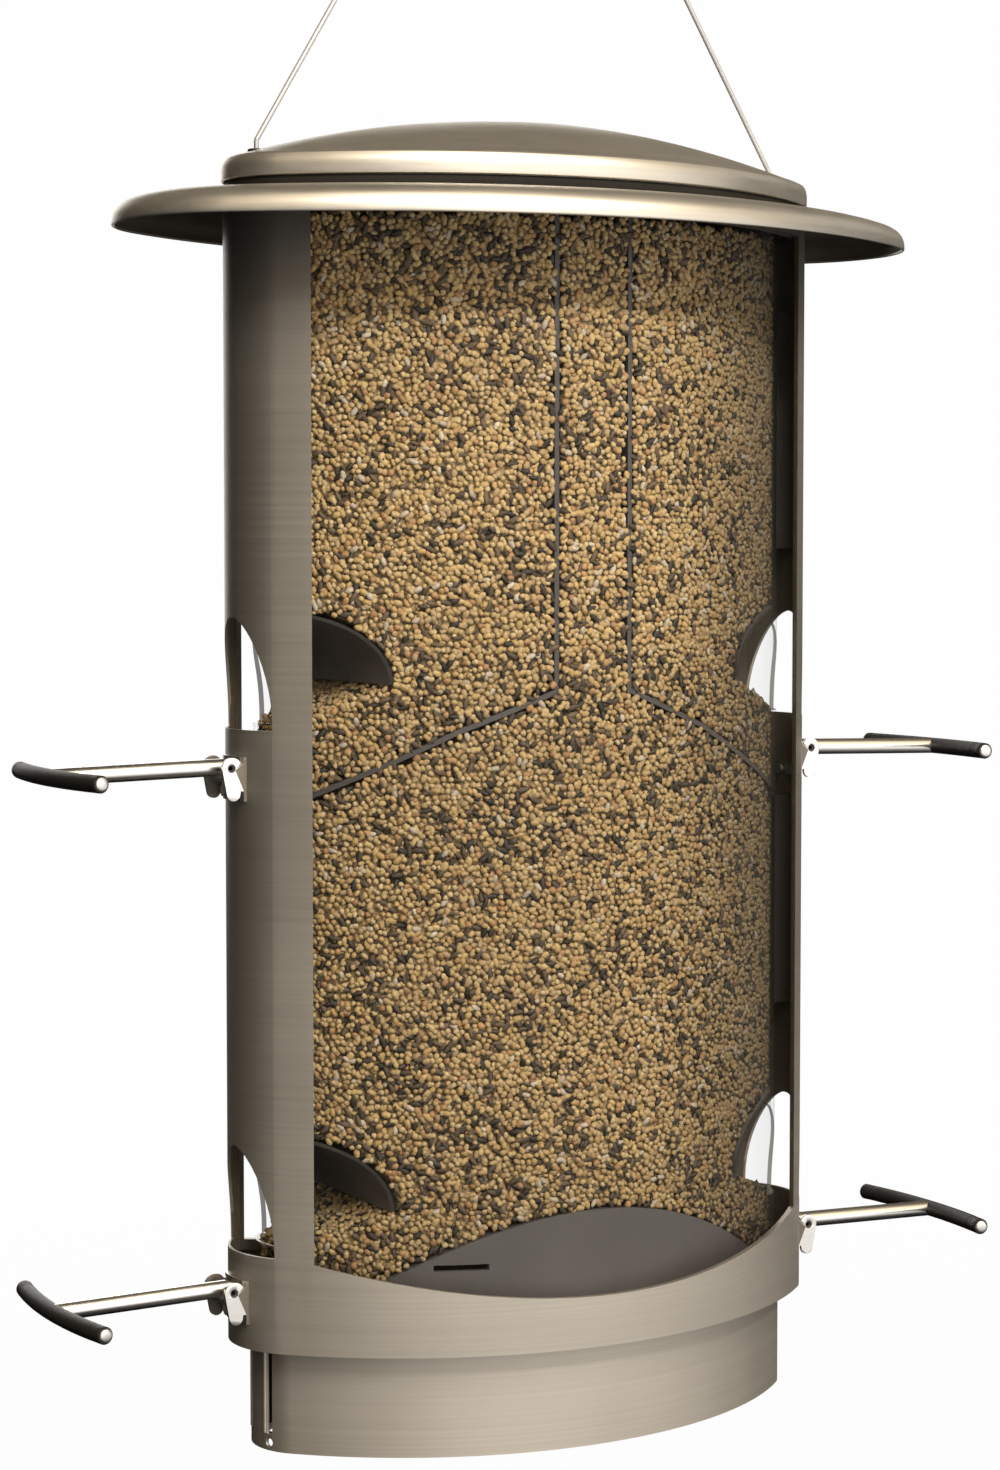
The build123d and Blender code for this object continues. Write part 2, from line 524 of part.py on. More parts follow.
for s in (-1, 1):
    seed_low -= hood_void(HOOD_Z[0], s, 0.15)
nodes["seed_fill_lower"] = seed_low
seed_up = None
for s in (-1, 1):
    pts = [(s * (DIV_X + 0.1), 223.2), (s * 41.0, 212.2), (s * 73.0, 196.2), (s * 92.0, 186.3), (s * 92.0, SEED_TOP), (s * (DIV_X + 0.1), SEED_TOP)]
    u = (xz_bar(pts, 60) & seed_prism) - hood_void(HOOD_Z[1], s, 0.15)
    seed_up = u if seed_up is None else seed_up + u
nodes["seed_fill_upper"] = seed_up

# ---------------------------------------------------------------- write
os.makedirs("parts", exist_ok=True)
for name, shape in nodes.items():
    sol = shape.solids()
    out = sol[0] if len(sol) == 1 else Compound(children=[s for s in sol])
    out = SHIFT * out
    export_step(out, f"parts/{name}.step")
    bb = out.bounding_box()
    print(f"{name:28s} solids {len(sol)}  vol {shape.volume/1000:9.3f} cm3  z {bb.min.Z:.1f}..{bb.max.Z:.1f}")
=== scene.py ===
import bpy
import bmesh
import json
import math
import random
import numpy as np
from mathutils import Vector, Matrix

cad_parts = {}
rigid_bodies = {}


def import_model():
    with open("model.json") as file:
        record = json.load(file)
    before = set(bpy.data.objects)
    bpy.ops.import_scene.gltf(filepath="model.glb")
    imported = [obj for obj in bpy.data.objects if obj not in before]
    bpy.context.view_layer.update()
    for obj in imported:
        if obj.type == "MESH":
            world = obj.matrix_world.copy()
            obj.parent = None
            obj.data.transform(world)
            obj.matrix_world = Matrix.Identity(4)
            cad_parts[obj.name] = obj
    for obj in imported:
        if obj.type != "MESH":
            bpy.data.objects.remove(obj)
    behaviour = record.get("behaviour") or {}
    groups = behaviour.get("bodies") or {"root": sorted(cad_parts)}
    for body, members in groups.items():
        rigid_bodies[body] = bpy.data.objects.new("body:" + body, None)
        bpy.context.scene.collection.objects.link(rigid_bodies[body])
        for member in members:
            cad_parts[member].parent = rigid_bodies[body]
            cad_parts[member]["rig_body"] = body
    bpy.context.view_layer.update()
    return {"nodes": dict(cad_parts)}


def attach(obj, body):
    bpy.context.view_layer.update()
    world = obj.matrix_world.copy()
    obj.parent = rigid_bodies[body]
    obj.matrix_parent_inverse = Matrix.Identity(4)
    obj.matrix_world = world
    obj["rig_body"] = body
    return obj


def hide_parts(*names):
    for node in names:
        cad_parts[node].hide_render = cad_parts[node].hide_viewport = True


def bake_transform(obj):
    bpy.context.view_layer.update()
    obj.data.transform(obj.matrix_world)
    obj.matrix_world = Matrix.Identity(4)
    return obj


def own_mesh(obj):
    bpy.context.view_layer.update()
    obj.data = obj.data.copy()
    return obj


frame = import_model()
NODES = frame["nodes"]
random.seed(7)
RNG = np.random.default_rng(7)

# Sizes are in millimetres measured up from the underside of the base skirt, as in the
# CAD source; mm() turns them into the shared frame, whose origin is the hanging eye.
EYE_Z = 510.0


def mm(v):
    v = np.asarray(v, float)
    out = v / 1000.0
    out[..., 2] = (v[..., 2] - EYE_Z) / 1000.0
    return out


# ------------------------------------------------------------------ oval geometry
A, B, R = 96.5, 53.3, 24.3


def oval_ring(a, b, r, ns=44, ne=22):
    """Closed ring of points on an oval of four tangent arcs, starting at the front left."""
    cx, by = a - r, b - r
    if by <= 1e-9:
        by = 1e-9
    yc = (cx * cx - by * by) / (2 * by)
    big = b + yc
    t = math.atan2(cx, yc)
    pts = []
    for k in range(ns):
        p = -t + 2 * t * k / ns
        pts.append((big * math.sin(p), yc - big * math.cos(p)))
    for k in range(ne):
        p = t + (math.pi - 2 * t) * k / ne
        pts.append((cx + r * math.sin(p), -r * math.cos(p)))
    for k in range(ns):
        p = math.pi - t + 2 * t * k / ns
        pts.append((big * math.sin(p), -yc - big * math.cos(p)))
    for k in range(ne):
        p = math.pi + t + (math.pi - 2 * t) * k / ne
        pts.append((-cx + r * math.sin(p), -r * math.cos(p)))
    return np.array(pts)


YC = ((A - R) ** 2 - (B - R) ** 2) / (2 * (B - R))
BIG = B + YC
PHI_T = math.atan2(A - R, YC)


def front_point(phi, inset):
    """Point and outward normal on the front or an end, by the normal's angle from -Y."""
    n = (math.sin(phi), -math.cos(phi))
    if abs(phi) <= PHI_T:
        rad = BIG - inset
        return rad * n[0], YC + rad * n[1], n
    rad = R - inset
    sx = 1 if phi > 0 else -1
    return sx * (A - R) + rad * n[0], rad * n[1], n


# ------------------------------------------------------------------ mesh helpers
def link(ob):
    bpy.context.scene.collection.objects.link(ob)
    return ob


def mark_sharp(me, degrees):
    bm = bmesh.new()
    bm.from_mesh(me)
    lim = math.radians(degrees)
    for f in bm.faces:
        f.smooth = True
    for e in bm.edges:
        if len(e.link_faces) == 2:
            e.smooth = e.calc_face_angle(0.0) < lim
        else:
            e.smooth = False
    bm.to_mesh(me)
    bm.free()


def piece(name, verts, faces, material, body, sharp=35.0, replaces=(), recalc=True):
    me = bpy.data.meshes.new(name)
    me.from_pydata([tuple(map(float, v)) for v in verts], [], [tuple(int(i) for i in f) for f in faces])
    me.validate()
    if recalc:
        bm = bmesh.new()
        bm.from_mesh(me)
        bmesh.ops.remove_doubles(bm, verts=bm.verts, dist=1e-6)
        bmesh.ops.recalc_face_normals(bm, faces=bm.faces)
        bm.to_mesh(me)
        bm.free()
    mark_sharp(me, sharp)
    ob = link(bpy.data.objects.new(name, me))
    me.materials.append(material)
    if body:
        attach(ob, body)
    if replaces:
        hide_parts(*replaces)
    return ob


def loft(rings, close_start=True, close_end=True, wrap=False):
    """Faces joining rings of equal length; returns verts, faces."""
    n = len(rings[0])
    verts = [p for ring in rings for p in ring]
    faces = []
    m = len(rings)
    for i in range(m if wrap else m - 1):
        j = (i + 1) % m
        for k in range(n):
            l = (k + 1) % n
            faces.append((i * n + k, i * n + l, j * n + l, j * n + k))
    if not wrap:
        if close_start:
            faces.append(tuple(reversed(range(n))))
        if close_end:
            faces.append(tuple((m - 1) * n + k for k in range(n)))
    return verts, faces


def oval_level(a, b, r, z):
    ring = oval_ring(a, b, r)
    return mm(np.column_stack([ring, np.full(len(ring), z)]))


def tube_mesh(path, radius, sides=12, caps="flat", lobes=0, lobe_depth=0.0, twist_per_m=0.0, radii=None):
    """Tube along a path of points, with parallel-transported sections."""
    path = [Vector(p) for p in path]
    n = len(path)
    tangents = []
    for i in range(n):
        a = path[max(i - 1, 0)]
        b = path[min(i + 1, n - 1)]
        tangents.append((b - a).normalized())
    ref = Vector((0, 1, 0))
    if abs(tangents[0].dot(ref)) > 0.9:
        ref = Vector((1, 0, 0))
    u = (ref - tangents[0] * ref.dot(tangents[0])).normalized()
    verts, faces = [], []
    run = 0.0
    for i in range(n):
        if i:
            run += (path[i] - path[i - 1]).length
            axis = tangents[i - 1].cross(tangents[i])
            if axis.length > 1e-9:
                u = Matrix.Rotation(tangents[i - 1].angle(tangents[i]), 3, axis.normalized()) @ u
            u = (u - tangents[i] * u.dot(tangents[i])).normalized()
        w = tangents[i].cross(u)
        rr = radius if radii is None else radii[i]
        for k in range(sides):
            ang = 2 * math.pi * k / sides
            r = rr
            if lobes:
                r = rr - lobe_depth * (0.5 - 0.5 * math.cos(lobes * (ang - twist_per_m * run)))
            verts.append(path[i] + (u * math.cos(ang) + w * math.sin(ang)) * r)
    for i in range(n - 1):
        for k in range(sides):
            l = (k + 1) % sides
            faces.append((i * sides + k, i * sides + l, (i + 1) * sides + l, (i + 1) * sides + k))
    faces.append(tuple(reversed(range(sides))))
    faces.append(tuple((n - 1) * sides + k for k in range(sides)))
    return verts, faces


def refine(node, name, width=0.25, segments=2, angle=50.0, material=None):
    """A copy of a CAD node with rounded edges, standing for that node."""
    src = NODES[node]
    me = src.data.copy()
    me.name = name
    ob = link(bpy.data.objects.new(name, me))
    if me.has_custom_normals:
        bpy.context.view_layer.objects.active = ob
        with bpy.context.temp_override(object=ob, active_object=ob):
            bpy.ops.mesh.customdata_custom_splitnormals_clear()
    bm = bmesh.new()
    bm.from_mesh(me)
    bmesh.ops.remove_doubles(bm, verts=bm.verts, dist=2e-6)
    bmesh.ops.dissolve_degenerate(bm, edges=bm.edges, dist=1e-6)
    lim = math.radians(angle)
    for f in bm.faces:
        f.smooth = True
    for e in bm.edges:
        e.smooth = not (len(e.link_faces) == 2 and e.calc_face_angle(0.0) > lim)
    bm.to_mesh(me)
    bm.free()
    me.materials.clear()
    me.materials.append(material)
    if width > 0:
        mod = ob.modifiers.new("edge", "BEVEL")
        mod.width = width / 1000.0
        mod.segments = segments
        mod.limit_method = "ANGLE"
        mod.angle_limit = lim
        mod.harden_normals = False
        mod.use_clamp_overlap = True
        mod.miter_outer = "MITER_ARC"
    wn = ob.modifiers.new("normals", "WEIGHTED_NORMAL")
    wn.keep_sharp = False
    wn.weight = 60
    deps = bpy.context.evaluated_depsgraph_get()
    baked = bpy.data.meshes.new_from_object(ob.evaluated_get(deps))
    ob.modifiers.clear()
    ob.data = baked
    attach(ob, src["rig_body"])
    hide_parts(node)
    return ob


# ------------------------------------------------------------------ materials
def new_material(name):
    m = bpy.data.materials.new(name)
    m.use_nodes = True
    nt = m.node_tree
    bsdf = nt.nodes.get("Principled BSDF")
    return m, nt, bsdf


def add(nt, kind, **inputs):
    n = nt.nodes.new(kind)
    for k, v in inputs.items():
        if k.startswith("_"):
            setattr(n, k[1:], v)
        else:
            n.inputs[k.replace("__", " ")].default_value = v
    return n


def coords(nt, scale):
    tc = nt.nodes.new("ShaderNodeTexCoord")
    mp = nt.nodes.new("ShaderNodeMapping")
    mp.inputs["Scale"].default_value = scale
    nt.links.new(tc.outputs["Object"], mp.inputs["Vector"])
    return mp.outputs["Vector"]


def noise(nt, scale_vec, scale=1.0, detail=4.0, rough=0.6):
    n = nt.nodes.new("ShaderNodeTexNoise")
    n.inputs["Scale"].default_value = scale
    n.inputs["Detail"].default_value = detail
    n.inputs["Roughness"].default_value = rough
    nt.links.new(coords(nt, scale_vec), n.inputs["Vector"])
    return n.outputs["Fac"]


def ramp(nt, value, stops):
    r = nt.nodes.new("ShaderNodeValToRGB")
    els = r.color_ramp.elements
    while len(els) < len(stops):
        els.new(0.5)
    for e, (p, c) in zip(els, stops):
        e.position = p
        e.color = (*c, 1.0) if len(c) == 3 else c
    nt.links.new(value, r.inputs["Fac"])
    return r.outputs["Color"]


def remap(nt, value, a, b, c, d):
    r = nt.nodes.new("ShaderNodeMapRange")
    r.inputs["From Min"].default_value = a
    r.inputs["From Max"].default_value = b
    r.inputs["To Min"].default_value = c
    r.inputs["To Max"].default_value = d
    nt.links.new(value, r.inputs["Value"])
    return r.outputs["Result"]


def bump(nt, value, bsdf, distance, strength=1.0):
    b = nt.nodes.new("ShaderNodeBump")
    b.inputs["Strength"].default_value = strength
    b.inputs["Distance"].default_value = distance
    nt.links.new(value, b.inputs["Height"])
    nt.links.new(b.outputs["Normal"], bsdf.inputs["Normal"])
    return b


def brushed(name, dark, light, rough, spread, streak=(7.0, 7.0, 1500.0), depth=0.00001, metallic=1.0, aniso=0.0, painted_roof_shade=None):
    """Metal with fine brushed lines that run round the feeder."""
    m, nt, bsdf = new_material(name)
    streaks = noise(nt, streak, 1.0, 5.0, 0.65)
    cloud = noise(nt, (14.0, 14.0, 14.0), 1.0, 3.0, 0.5)
    mixv = nt.nodes.new("ShaderNodeMath")
    mixv.operation = "MULTIPLY_ADD"
    nt.links.new(streaks, mixv.inputs[0])
    mixv.inputs[1].default_value = 0.7
    nt.links.new(remap(nt, cloud, 0.3, 0.7, 0.0, 0.3), mixv.inputs[2])
    col = ramp(nt, mixv.outputs[0], [(0.25, dark), (0.75, light)])
    if painted_roof_shade:
        # painted shade, darker towards the top where the roof overhangs: (z from, z to, [(place, factor)])
        spz = nt.nodes.new("ShaderNodeSeparateXYZ")
        nt.links.new(coords(nt, (1.0, 1.0, 1.0)), spz.inputs[0])
        mul = nt.nodes.new("ShaderNodeVectorMath")
        mul.operation = "MULTIPLY"
        nt.links.new(col, mul.inputs[0])
        nt.links.new(ramp(nt, remap(nt, spz.outputs["Z"], painted_roof_shade[0], painted_roof_shade[1], 0.0, 1.0), [(p, (f, f, f)) for p, f in painted_roof_shade[2]]), mul.inputs[1])
        col = mul.outputs["Vector"]
    nt.links.new(col, bsdf.inputs["Base Color"])
    bsdf.inputs["Metallic"].default_value = metallic
    nt.links.new(remap(nt, mixv.outputs[0], 0.2, 0.8, rough - spread, rough + spread), bsdf.inputs["Roughness"])
    if aniso:
        bsdf.inputs["Anisotropic"].default_value = aniso
        tg = nt.nodes.new("ShaderNodeTangent")
        tg.direction_type = "RADIAL"
        tg.axis = "Z"
        nt.links.new(tg.outputs[0], bsdf.inputs["Tangent"])
    bump(nt, streaks, bsdf, depth)
    return m


# the shroud and skirt metal carries painted shade, darker upwards under the roof
CHAMPAGNE = brushed("champagne_brushed", (0.43, 0.387, 0.331), (0.536, 0.493, 0.431), 0.45, 0.05, streak=(5.0, 5.0, 1100.0), depth=0.000006, metallic=0.86,
                    painted_roof_shade=((14.0 - EYE_Z) / 1000.0, (347.0 - EYE_Z) / 1000.0,
                          [(0.0, 1.0), (0.055, 0.84), (0.20, 0.84), (0.41, 0.74), (0.76, 0.64), (0.907, 0.60), (1.0, 0.353)]))
CHAMPAGNE_ROOF = brushed("champagne_brushed_roof", (0.43, 0.400, 0.350), (0.53, 0.495, 0.435), 0.38, 0.05, streak=(6.0, 200.0, 900.0), depth=0.000006, metallic=0.9)
# darker copy of the champagne metal: painted shade for faces that look inwards or down, and for the base plate
SHADED_INNER_METAL = brushed("champagne_inside_painted_shade", (0.28, 0.245, 0.195), (0.38, 0.335, 0.265), 0.6, 0.06, depth=0.000005)
# much darker copy of the metal: painted shade for the brim's underside and neck and the brackets' inner faces
SHADED_UNDERSIDE = brushed("champagne_under_painted_shade", (0.15, 0.130, 0.110), (0.215, 0.188, 0.158), 0.6, 0.06, depth=0.000005)
STEM = brushed("stem_steel", (0.66, 0.65, 0.62), (0.80, 0.785, 0.755), 0.27, 0.05, streak=(60.0, 900.0, 900.0), depth=0.000003)
BRIGHT = brushed("bright_steel", (0.60, 0.585, 0.56), (0.74, 0.725, 0.70), 0.30, 0.05, streak=(60.0, 900.0, 900.0), depth=0.000004)
PLUG = brushed("plug_metal", (0.55, 0.54, 0.53), (0.70, 0.69, 0.68), 0.34, 0.05, streak=(900.0, 60.0, 900.0), depth=0.000003)
SPRING = brushed("spring_steel", (0.36, 0.35, 0.34), (0.52, 0.51, 0.50), 0.34, 0.05, streak=(500.0, 500.0, 500.0), depth=0.000004)
WIRE = brushed("wire_rope", (0.36, 0.355, 0.35), (0.46, 0.455, 0.45), 0.60, 0.05, streak=(500.0, 500.0, 500.0), depth=0.000003, metallic=0.7)


def moulded(name, dark, light, rough, grain=900.0, depth=0.00002):
    m, nt, bsdf = new_material(name)
    fine = noise(nt, (grain, grain, grain), 1.0, 3.0, 0.6)
    broad = noise(nt, (22.0, 22.0, 22.0), 1.0, 4.0, 0.55)
    col = ramp(nt, broad, [(0.3, dark), (0.72, light)])
    nt.links.new(col, bsdf.inputs["Base Color"])
    nt.links.new(remap(nt, fine, 0.3, 0.7, rough - 0.06, rough + 0.08), bsdf.inputs["Roughness"])
    bump(nt, fine, bsdf, depth)
    return m


GREY = moulded("grey_plastic", (0.049, 0.044, 0.042), (0.069, 0.062, 0.060), 0.48)
DIVIDER = moulded("grey_plastic_shelf", (0.037, 0.032, 0.029), (0.052, 0.045, 0.041), 0.5)
# near-black: painted shade for the groove under the crown
CREASE_SHADE = moulded("crease_painted_shade", (0.009, 0.0072, 0.005), (0.014, 0.0115, 0.008), 0.7)
PIN_PAINTED_SHADE = moulded("pivot_pin_painted_shade", (0.018, 0.016, 0.014), (0.030, 0.027, 0.024), 0.5)
HOOD = moulded("dark_hood_plastic", (0.070, 0.062, 0.056), (0.11, 0.098, 0.092), 0.5)
RUBBER = moulded("grip_rubber", (0.010, 0.009, 0.0085), (0.017, 0.015, 0.014), 0.5, grain=1600.0, depth=0.00003)
# painted shade: the hood's cut rims, which face the front and back, are coloured darker than its inside
_nt = HOOD.node_tree
_geo = _nt.nodes.new("ShaderNodeNewGeometry")
_sep = _nt.nodes.new("ShaderNodeSeparateXYZ")
_nt.links.new(_geo.outputs["Normal"], _sep.inputs[0])
_abs = _nt.nodes.new("ShaderNodeMath")
_abs.operation = "ABSOLUTE"
_nt.links.new(_sep.outputs["Y"], _abs.inputs[0])
_rim_painted_shade = _nt.nodes.new("ShaderNodeMix")
_rim_painted_shade.data_type = "RGBA"
_nt.links.new(remap(_nt, _abs.outputs[0], 0.5, 0.85, 0.0, 1.0), _rim_painted_shade.inputs[0])
_base = _nt.nodes["Principled BSDF"].inputs["Base Color"]
_nt.links.new(_base.links[0].from_socket, _rim_painted_shade.inputs[6])
_rim_painted_shade.inputs[7].default_value = (0.011, 0.0095, 0.009, 1.0)
_nt.links.new(_rim_painted_shade.outputs[2], _base)
CREASE_SHADE.node_tree.nodes["Principled BSDF"].inputs["Specular IOR Level"].default_value = 0.15
for _m in (GREY, DIVIDER, HOOD, RUBBER):
    _m.node_tree.nodes["Principled BSDF"].inputs["Specular IOR Level"].default_value = 0.35

# clear plastic: almost fully see-through face on, greyer at a grazing angle
CLEAR, _nt, _b = new_material("clear_plastic")
_b.inputs["Base Color"].default_value = (0.13, 0.117, 0.097, 1.0)
_b.inputs["Roughness"].default_value = 0.08
_b.inputs["IOR"].default_value = 1.49
_lw = _nt.nodes.new("ShaderNodeLayerWeight")
_lw.inputs["Blend"].default_value = 0.35
_haze = noise(_nt, (60.0, 60.0, 60.0), 1.0, 3.0, 0.5)
_a1 = remap(_nt, _lw.outputs["Facing"], 0.25, 1.0, 0.0, 0.46)
_m1 = _nt.nodes.new("ShaderNodeMath")
_m1.operation = "POWER"
_m1.inputs[1].default_value = 1.6
_nt.links.new(_a1, _m1.inputs[0])
_m2 = _nt.nodes.new("ShaderNodeMath")
_m2.operation = "ADD"
_nt.links.new(_m1.outputs[0], _m2.inputs[0])
_nt.links.new(remap(_nt, _haze, 0.3, 0.8, 0.004, 0.018), _m2.inputs[1])
_nt.links.new(_m2.outputs[0], _b.inputs["Alpha"])

# the cut edges of the same sheet, which look dark
CLEAR_EDGE, _nt, _b = new_material("clear_plastic_edge")
_nt.links.new(ramp(_nt, noise(_nt, (60.0, 60.0, 60.0), 1.0, 3.0, 0.5), [(0.3, (0.070, 0.064, 0.054)), (0.7, (0.105, 0.096, 0.082))]), _b.inputs["Base Color"])
_b.inputs["Roughness"].default_value = 0.25
_b.inputs["Alpha"].default_value = 0.82


def seed_material(name):
    m, nt, bsdf = new_material(name)
    at = nt.nodes.new("ShaderNodeAttribute")
    at.attribute_name = "Col"
    fine = noise(nt, (900.0, 900.0, 900.0), 1.0, 2.0, 0.5)
    mix = nt.nodes.new("ShaderNodeMix")
    mix.data_type = "RGBA"
    mix.blend_type = "MULTIPLY"
    mix.inputs[0].default_value = 1.0
    nt.links.new(at.outputs["Color"], mix.inputs[6])
    nt.links.new(ramp(nt, fine, [(0.3, (0.72, 0.70, 0.68)), (0.7, (1.0, 1.0, 1.0))]), mix.inputs[7])
    nt.links.new(mix.outputs[2], bsdf.inputs["Base Color"])
    bsdf.inputs["Roughness"].default_value = 0.6
    bsdf.inputs["Specular IOR Level"].default_value = 0.3
    bump(nt, fine, bsdf, 0.00003)
    return m


SEED = seed_material("seed_mix")
# seed deep in the fill, coloured darker than the grains in front as painted shade for the gaps between them
SHADED_SEED_CORE, _nt, _b = new_material("seed_depth")
_v = _nt.nodes.new("ShaderNodeTexVoronoi")
_v.inputs["Scale"].default_value = 420.0
_nt.links.new(coords(_nt, (1.0, 1.0, 1.0)), _v.inputs["Vector"])
_nt.links.new(ramp(_nt, _v.outputs["Color"], [(0.2, (0.09, 0.063, 0.034)), (0.5, (0.22, 0.15, 0.075)), (0.8, (0.33, 0.23, 0.115))]), _b.inputs["Base Color"])
_b.inputs["Roughness"].default_value = 0.75
bump(_nt, _v.outputs["Distance"], _b, 0.0006)

# ------------------------------------------------------------------ camera
cam_data = bpy.data.cameras.new("camera")
cam = link(bpy.data.objects.new("camera", cam_data))
cam_data.sensor_fit = "VERTICAL"
cam_data.sensor_height = 36.0
cam_data.sensor_width = 36.0
cam_data.lens = 3214.5 * 36.0 / 1470.0
cam_data.clip_start = 0.01
cam_data.clip_end = 50.0
_pos = Vector(mm(np.array([-471.0, -855.2, 265.7])).tolist())
_right = Vector((0.8795, -0.4759, 0.0))
_back = Vector((-0.4751, -0.8779, 0.0597)).normalized()
_right = (_right - _back * _right.dot(_back)).normalized()
_up = _back.cross(_right).normalized()
cam.matrix_world = Matrix((
    (_right.x, _up.x, _back.x, _pos.x),
    (_right.y, _up.y, _back.y, _pos.y),
    (_right.z, _up.z, _back.z, _pos.z),
    (0, 0, 0, 1)))
bpy.context.scene.camera = cam

# ------------------------------------------------------------------ hanging cable
ROUTE = [(-0.088, 0.0, -0.1285), (-0.00994, 0.0, 0.00129), (-0.0053, 0.0, 0.0090),
         (0.0053, 0.0, 0.0090), (0.00994, 0.0, 0.00129), (0.088, 0.0, -0.1285)]


def nurbs_points(route, resolution=24):
    cu = bpy.data.curves.new("route", "CURVE")
    cu.dimensions = "3D"
    cu.resolution_u = resolution
    sp = cu.splines.new("NURBS")
    sp.points.add(len(route) - 1)
    for p, q in zip(sp.points, route):
        p.co = (*q, 1.0)
    sp.order_u = 3
    sp.use_endpoint_u = True
    ob = link(bpy.data.objects.new("route", cu))
    bpy.context.view_layer.update()
    me = bpy.data.meshes.new_from_object(ob)
    pts = [v.co.copy() for v in me.vertices]
    bpy.data.objects.remove(ob)
    bpy.data.meshes.remove(me)
    bpy.data.curves.remove(cu)
    return pts


def resample(pts, step):
    out = [pts[0]]
    left = step
    for a, b in zip(pts, pts[1:]):
        d = (b - a).length
        pos = 0.0
        while d - pos > left:
            pos += left
            out.append(a + (b - a) * (pos / d))
            left = step
        left -= d - pos
    if (out[-1] - pts[-1]).length < step * 0.4:
        out[-1] = pts[-1]
    else:
        out.append(pts[-1])
    return out


spline_pts = nurbs_points(ROUTE)
rope_line = resample(spline_pts, 0.0007)
rv, rf = tube_mesh(rope_line, 0.00075, sides=18, lobes=6, lobe_depth=0.00005, twist_per_m=2 * math.pi / 0.009 / 1.0)
cable = piece("cable_strands", rv, rf, WIRE, None, sharp=60.0, replaces=("hanger_cable",), recalc=False)
cable_length = sum((b - a).length for a, b in zip(spline_pts, spline_pts[1:]))
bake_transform(cable)

tv, tf = [], []
for s in (-1, 1):
    line = [Vector((s * 0.088, 0, -0.1476 + (0.0191) * k / 28)) for k in range(29)]
    v, f = tube_mesh(line, 0.00075, sides=18, lobes=6, lobe_depth=0.00005, twist_per_m=2 * math.pi / 0.009)
    off = len(tv)
    tv += v
    tf += [tuple(i + off for i in g) for g in f]
tails = piece("cable_inner_legs", tv, tf, WIRE, None, sharp=60.0, replaces=("cable_tails",), recalc=False)
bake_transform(tails)

# ------------------------------------------------------------------ roof
ROOF_T = 0.9


def base_abr(i):
    return A - i, B - i, R - i


BR_A, BR_B, BR_R = 129.6, 74.7, 45.5


def brim_abr(t, d=0.0):
    a0, b0, r0 = base_abr(-0.6)
    return (a0 + (BR_A - a0) * t - d, b0 + (BR_B - b0) * t - d, r0 + (BR_R - r0) * t - d)


Z_TOP, Z_SH = 391.2, 377.0
rings = []
# outside of the ring-shaped wall, from its rolled lower edge up to the crease
for ang in range(-90, 1, 18):
    c = math.cos(math.radians(ang))
    sn = math.sin(math.radians(ang))
    rings.append(oval_level(*base_abr(-0.6 + 0.55 * (1 - c)), 370.4 + 0.55 * sn))
for z, i in ((371.2, -0.6), (372.3, -0.6), (373.2, -0.58), (374.2, -0.45), (375.2, -0.15), (376.0, 0.35), (376.5, 0.95), (376.8, 1.6)):
    rings.append(oval_level(*base_abr(i), z))
a2, b2, r2 = base_abr(2.4)
crown_k = [1.0, 0.985, 0.965, 0.94, 0.91, 0.87, 0.82, 0.76, 0.69, 0.61, 0.52, 0.42, 0.31, 0.19, 0.07]
for k in crown_k:
    rings.append(oval_level(a2 * k, b2 * k, r2 * k, Z_TOP - (Z_TOP - Z_SH) * k * k))
top_count = len(rings)
# inside
for k in reversed(crown_k):
    rings.append(oval_level(a2 * k, b2 * k, r2 * k, Z_TOP - (Z_TOP - Z_SH) * k * k - ROOF_T))
for z, i in ((375.4, 1.5), (374.3, 0.8), (373.2, 0.4), (372.0, 0.3), (370.4, 0.3)):
    rings.append(oval_level(*base_abr(i), z))
for ang in range(180, 269, 18):
    c = math.cos(math.radians(ang))
    sn = math.sin(math.radians(ang))
    rings.append(oval_level(*base_abr(-0.05 - 0.35 * c), 370.4 + 0.55 * sn))
n_ring = len(rings[0])
verts = [p for ring in rings for p in ring]
faces = []
for i in range(len(rings) - 1):
    if i == top_count - 1:
        continue
    for k in range(n_ring):
        l = (k + 1) % n_ring
        faces.append((i * n_ring + k, i * n_ring + l, (i + 1) * n_ring + l, (i + 1) * n_ring + k))
top_centre = len(verts)
verts.append(mm(np.array([0, 0, Z_TOP])))
verts.append(mm(np.array([0, 0, Z_TOP - ROOF_T])))
for k in range(n_ring):
    l = (k + 1) % n_ring
    i = top_count - 1
    faces.append((i * n_ring + k, i * n_ring + l, top_centre))
    faces.append(((i + 1) * n_ring + l, (i + 1) * n_ring + k, top_centre + 1))
last = len(rings) - 1
for k in range(n_ring):
    l = (k + 1) % n_ring
    faces.append((last * n_ring + k, last * n_ring + l, l, k))
crown = piece("roof_dome", verts, faces, CHAMPAGNE_ROOF, "roof", sharp=16.0, replaces=("roof_crown",))


def cut_round_holes(ob, centres, radius, z0, z1):
    """Cuts vertical round holes through a shell with an exact boolean."""
    cutters = []
    for (x, y) in centres:
        me = bpy.data.meshes.new("hole")
        bm = bmesh.new()
        bmesh.ops.create_cone(bm, cap_ends=True, segments=40, radius1=radius, radius2=radius, depth=(z1 - z0))
        bmesh.ops.translate(bm, verts=bm.verts, vec=(x, y, (z0 + z1) / 2))
        bm.to_mesh(me)
        bm.free()
        cutters.append(link(bpy.data.objects.new("hole", me)))
    for c in cutters:
        mod = ob.modifiers.new("hole", "BOOLEAN")
        mod.object = c
        mod.operation = "DIFFERENCE"
        mod.solver = "EXACT"
    deps = bpy.context.evaluated_depsgraph_get()
    me = bpy.data.meshes.new_from_object(ob.evaluated_get(deps))
    ob.modifiers.clear()
    mats = list(ob.data.materials)
    ob.data = me
    me.materials.clear()
    for m in mats:
        me.materials.append(m)
    for c in cutters:
        bpy.data.objects.remove(c)


cut_round_holes(crown, ((-0.088, 0), (0.088, 0)), 0.0026, -0.140, -0.120)
mark_sharp(crown.data, 16.0)

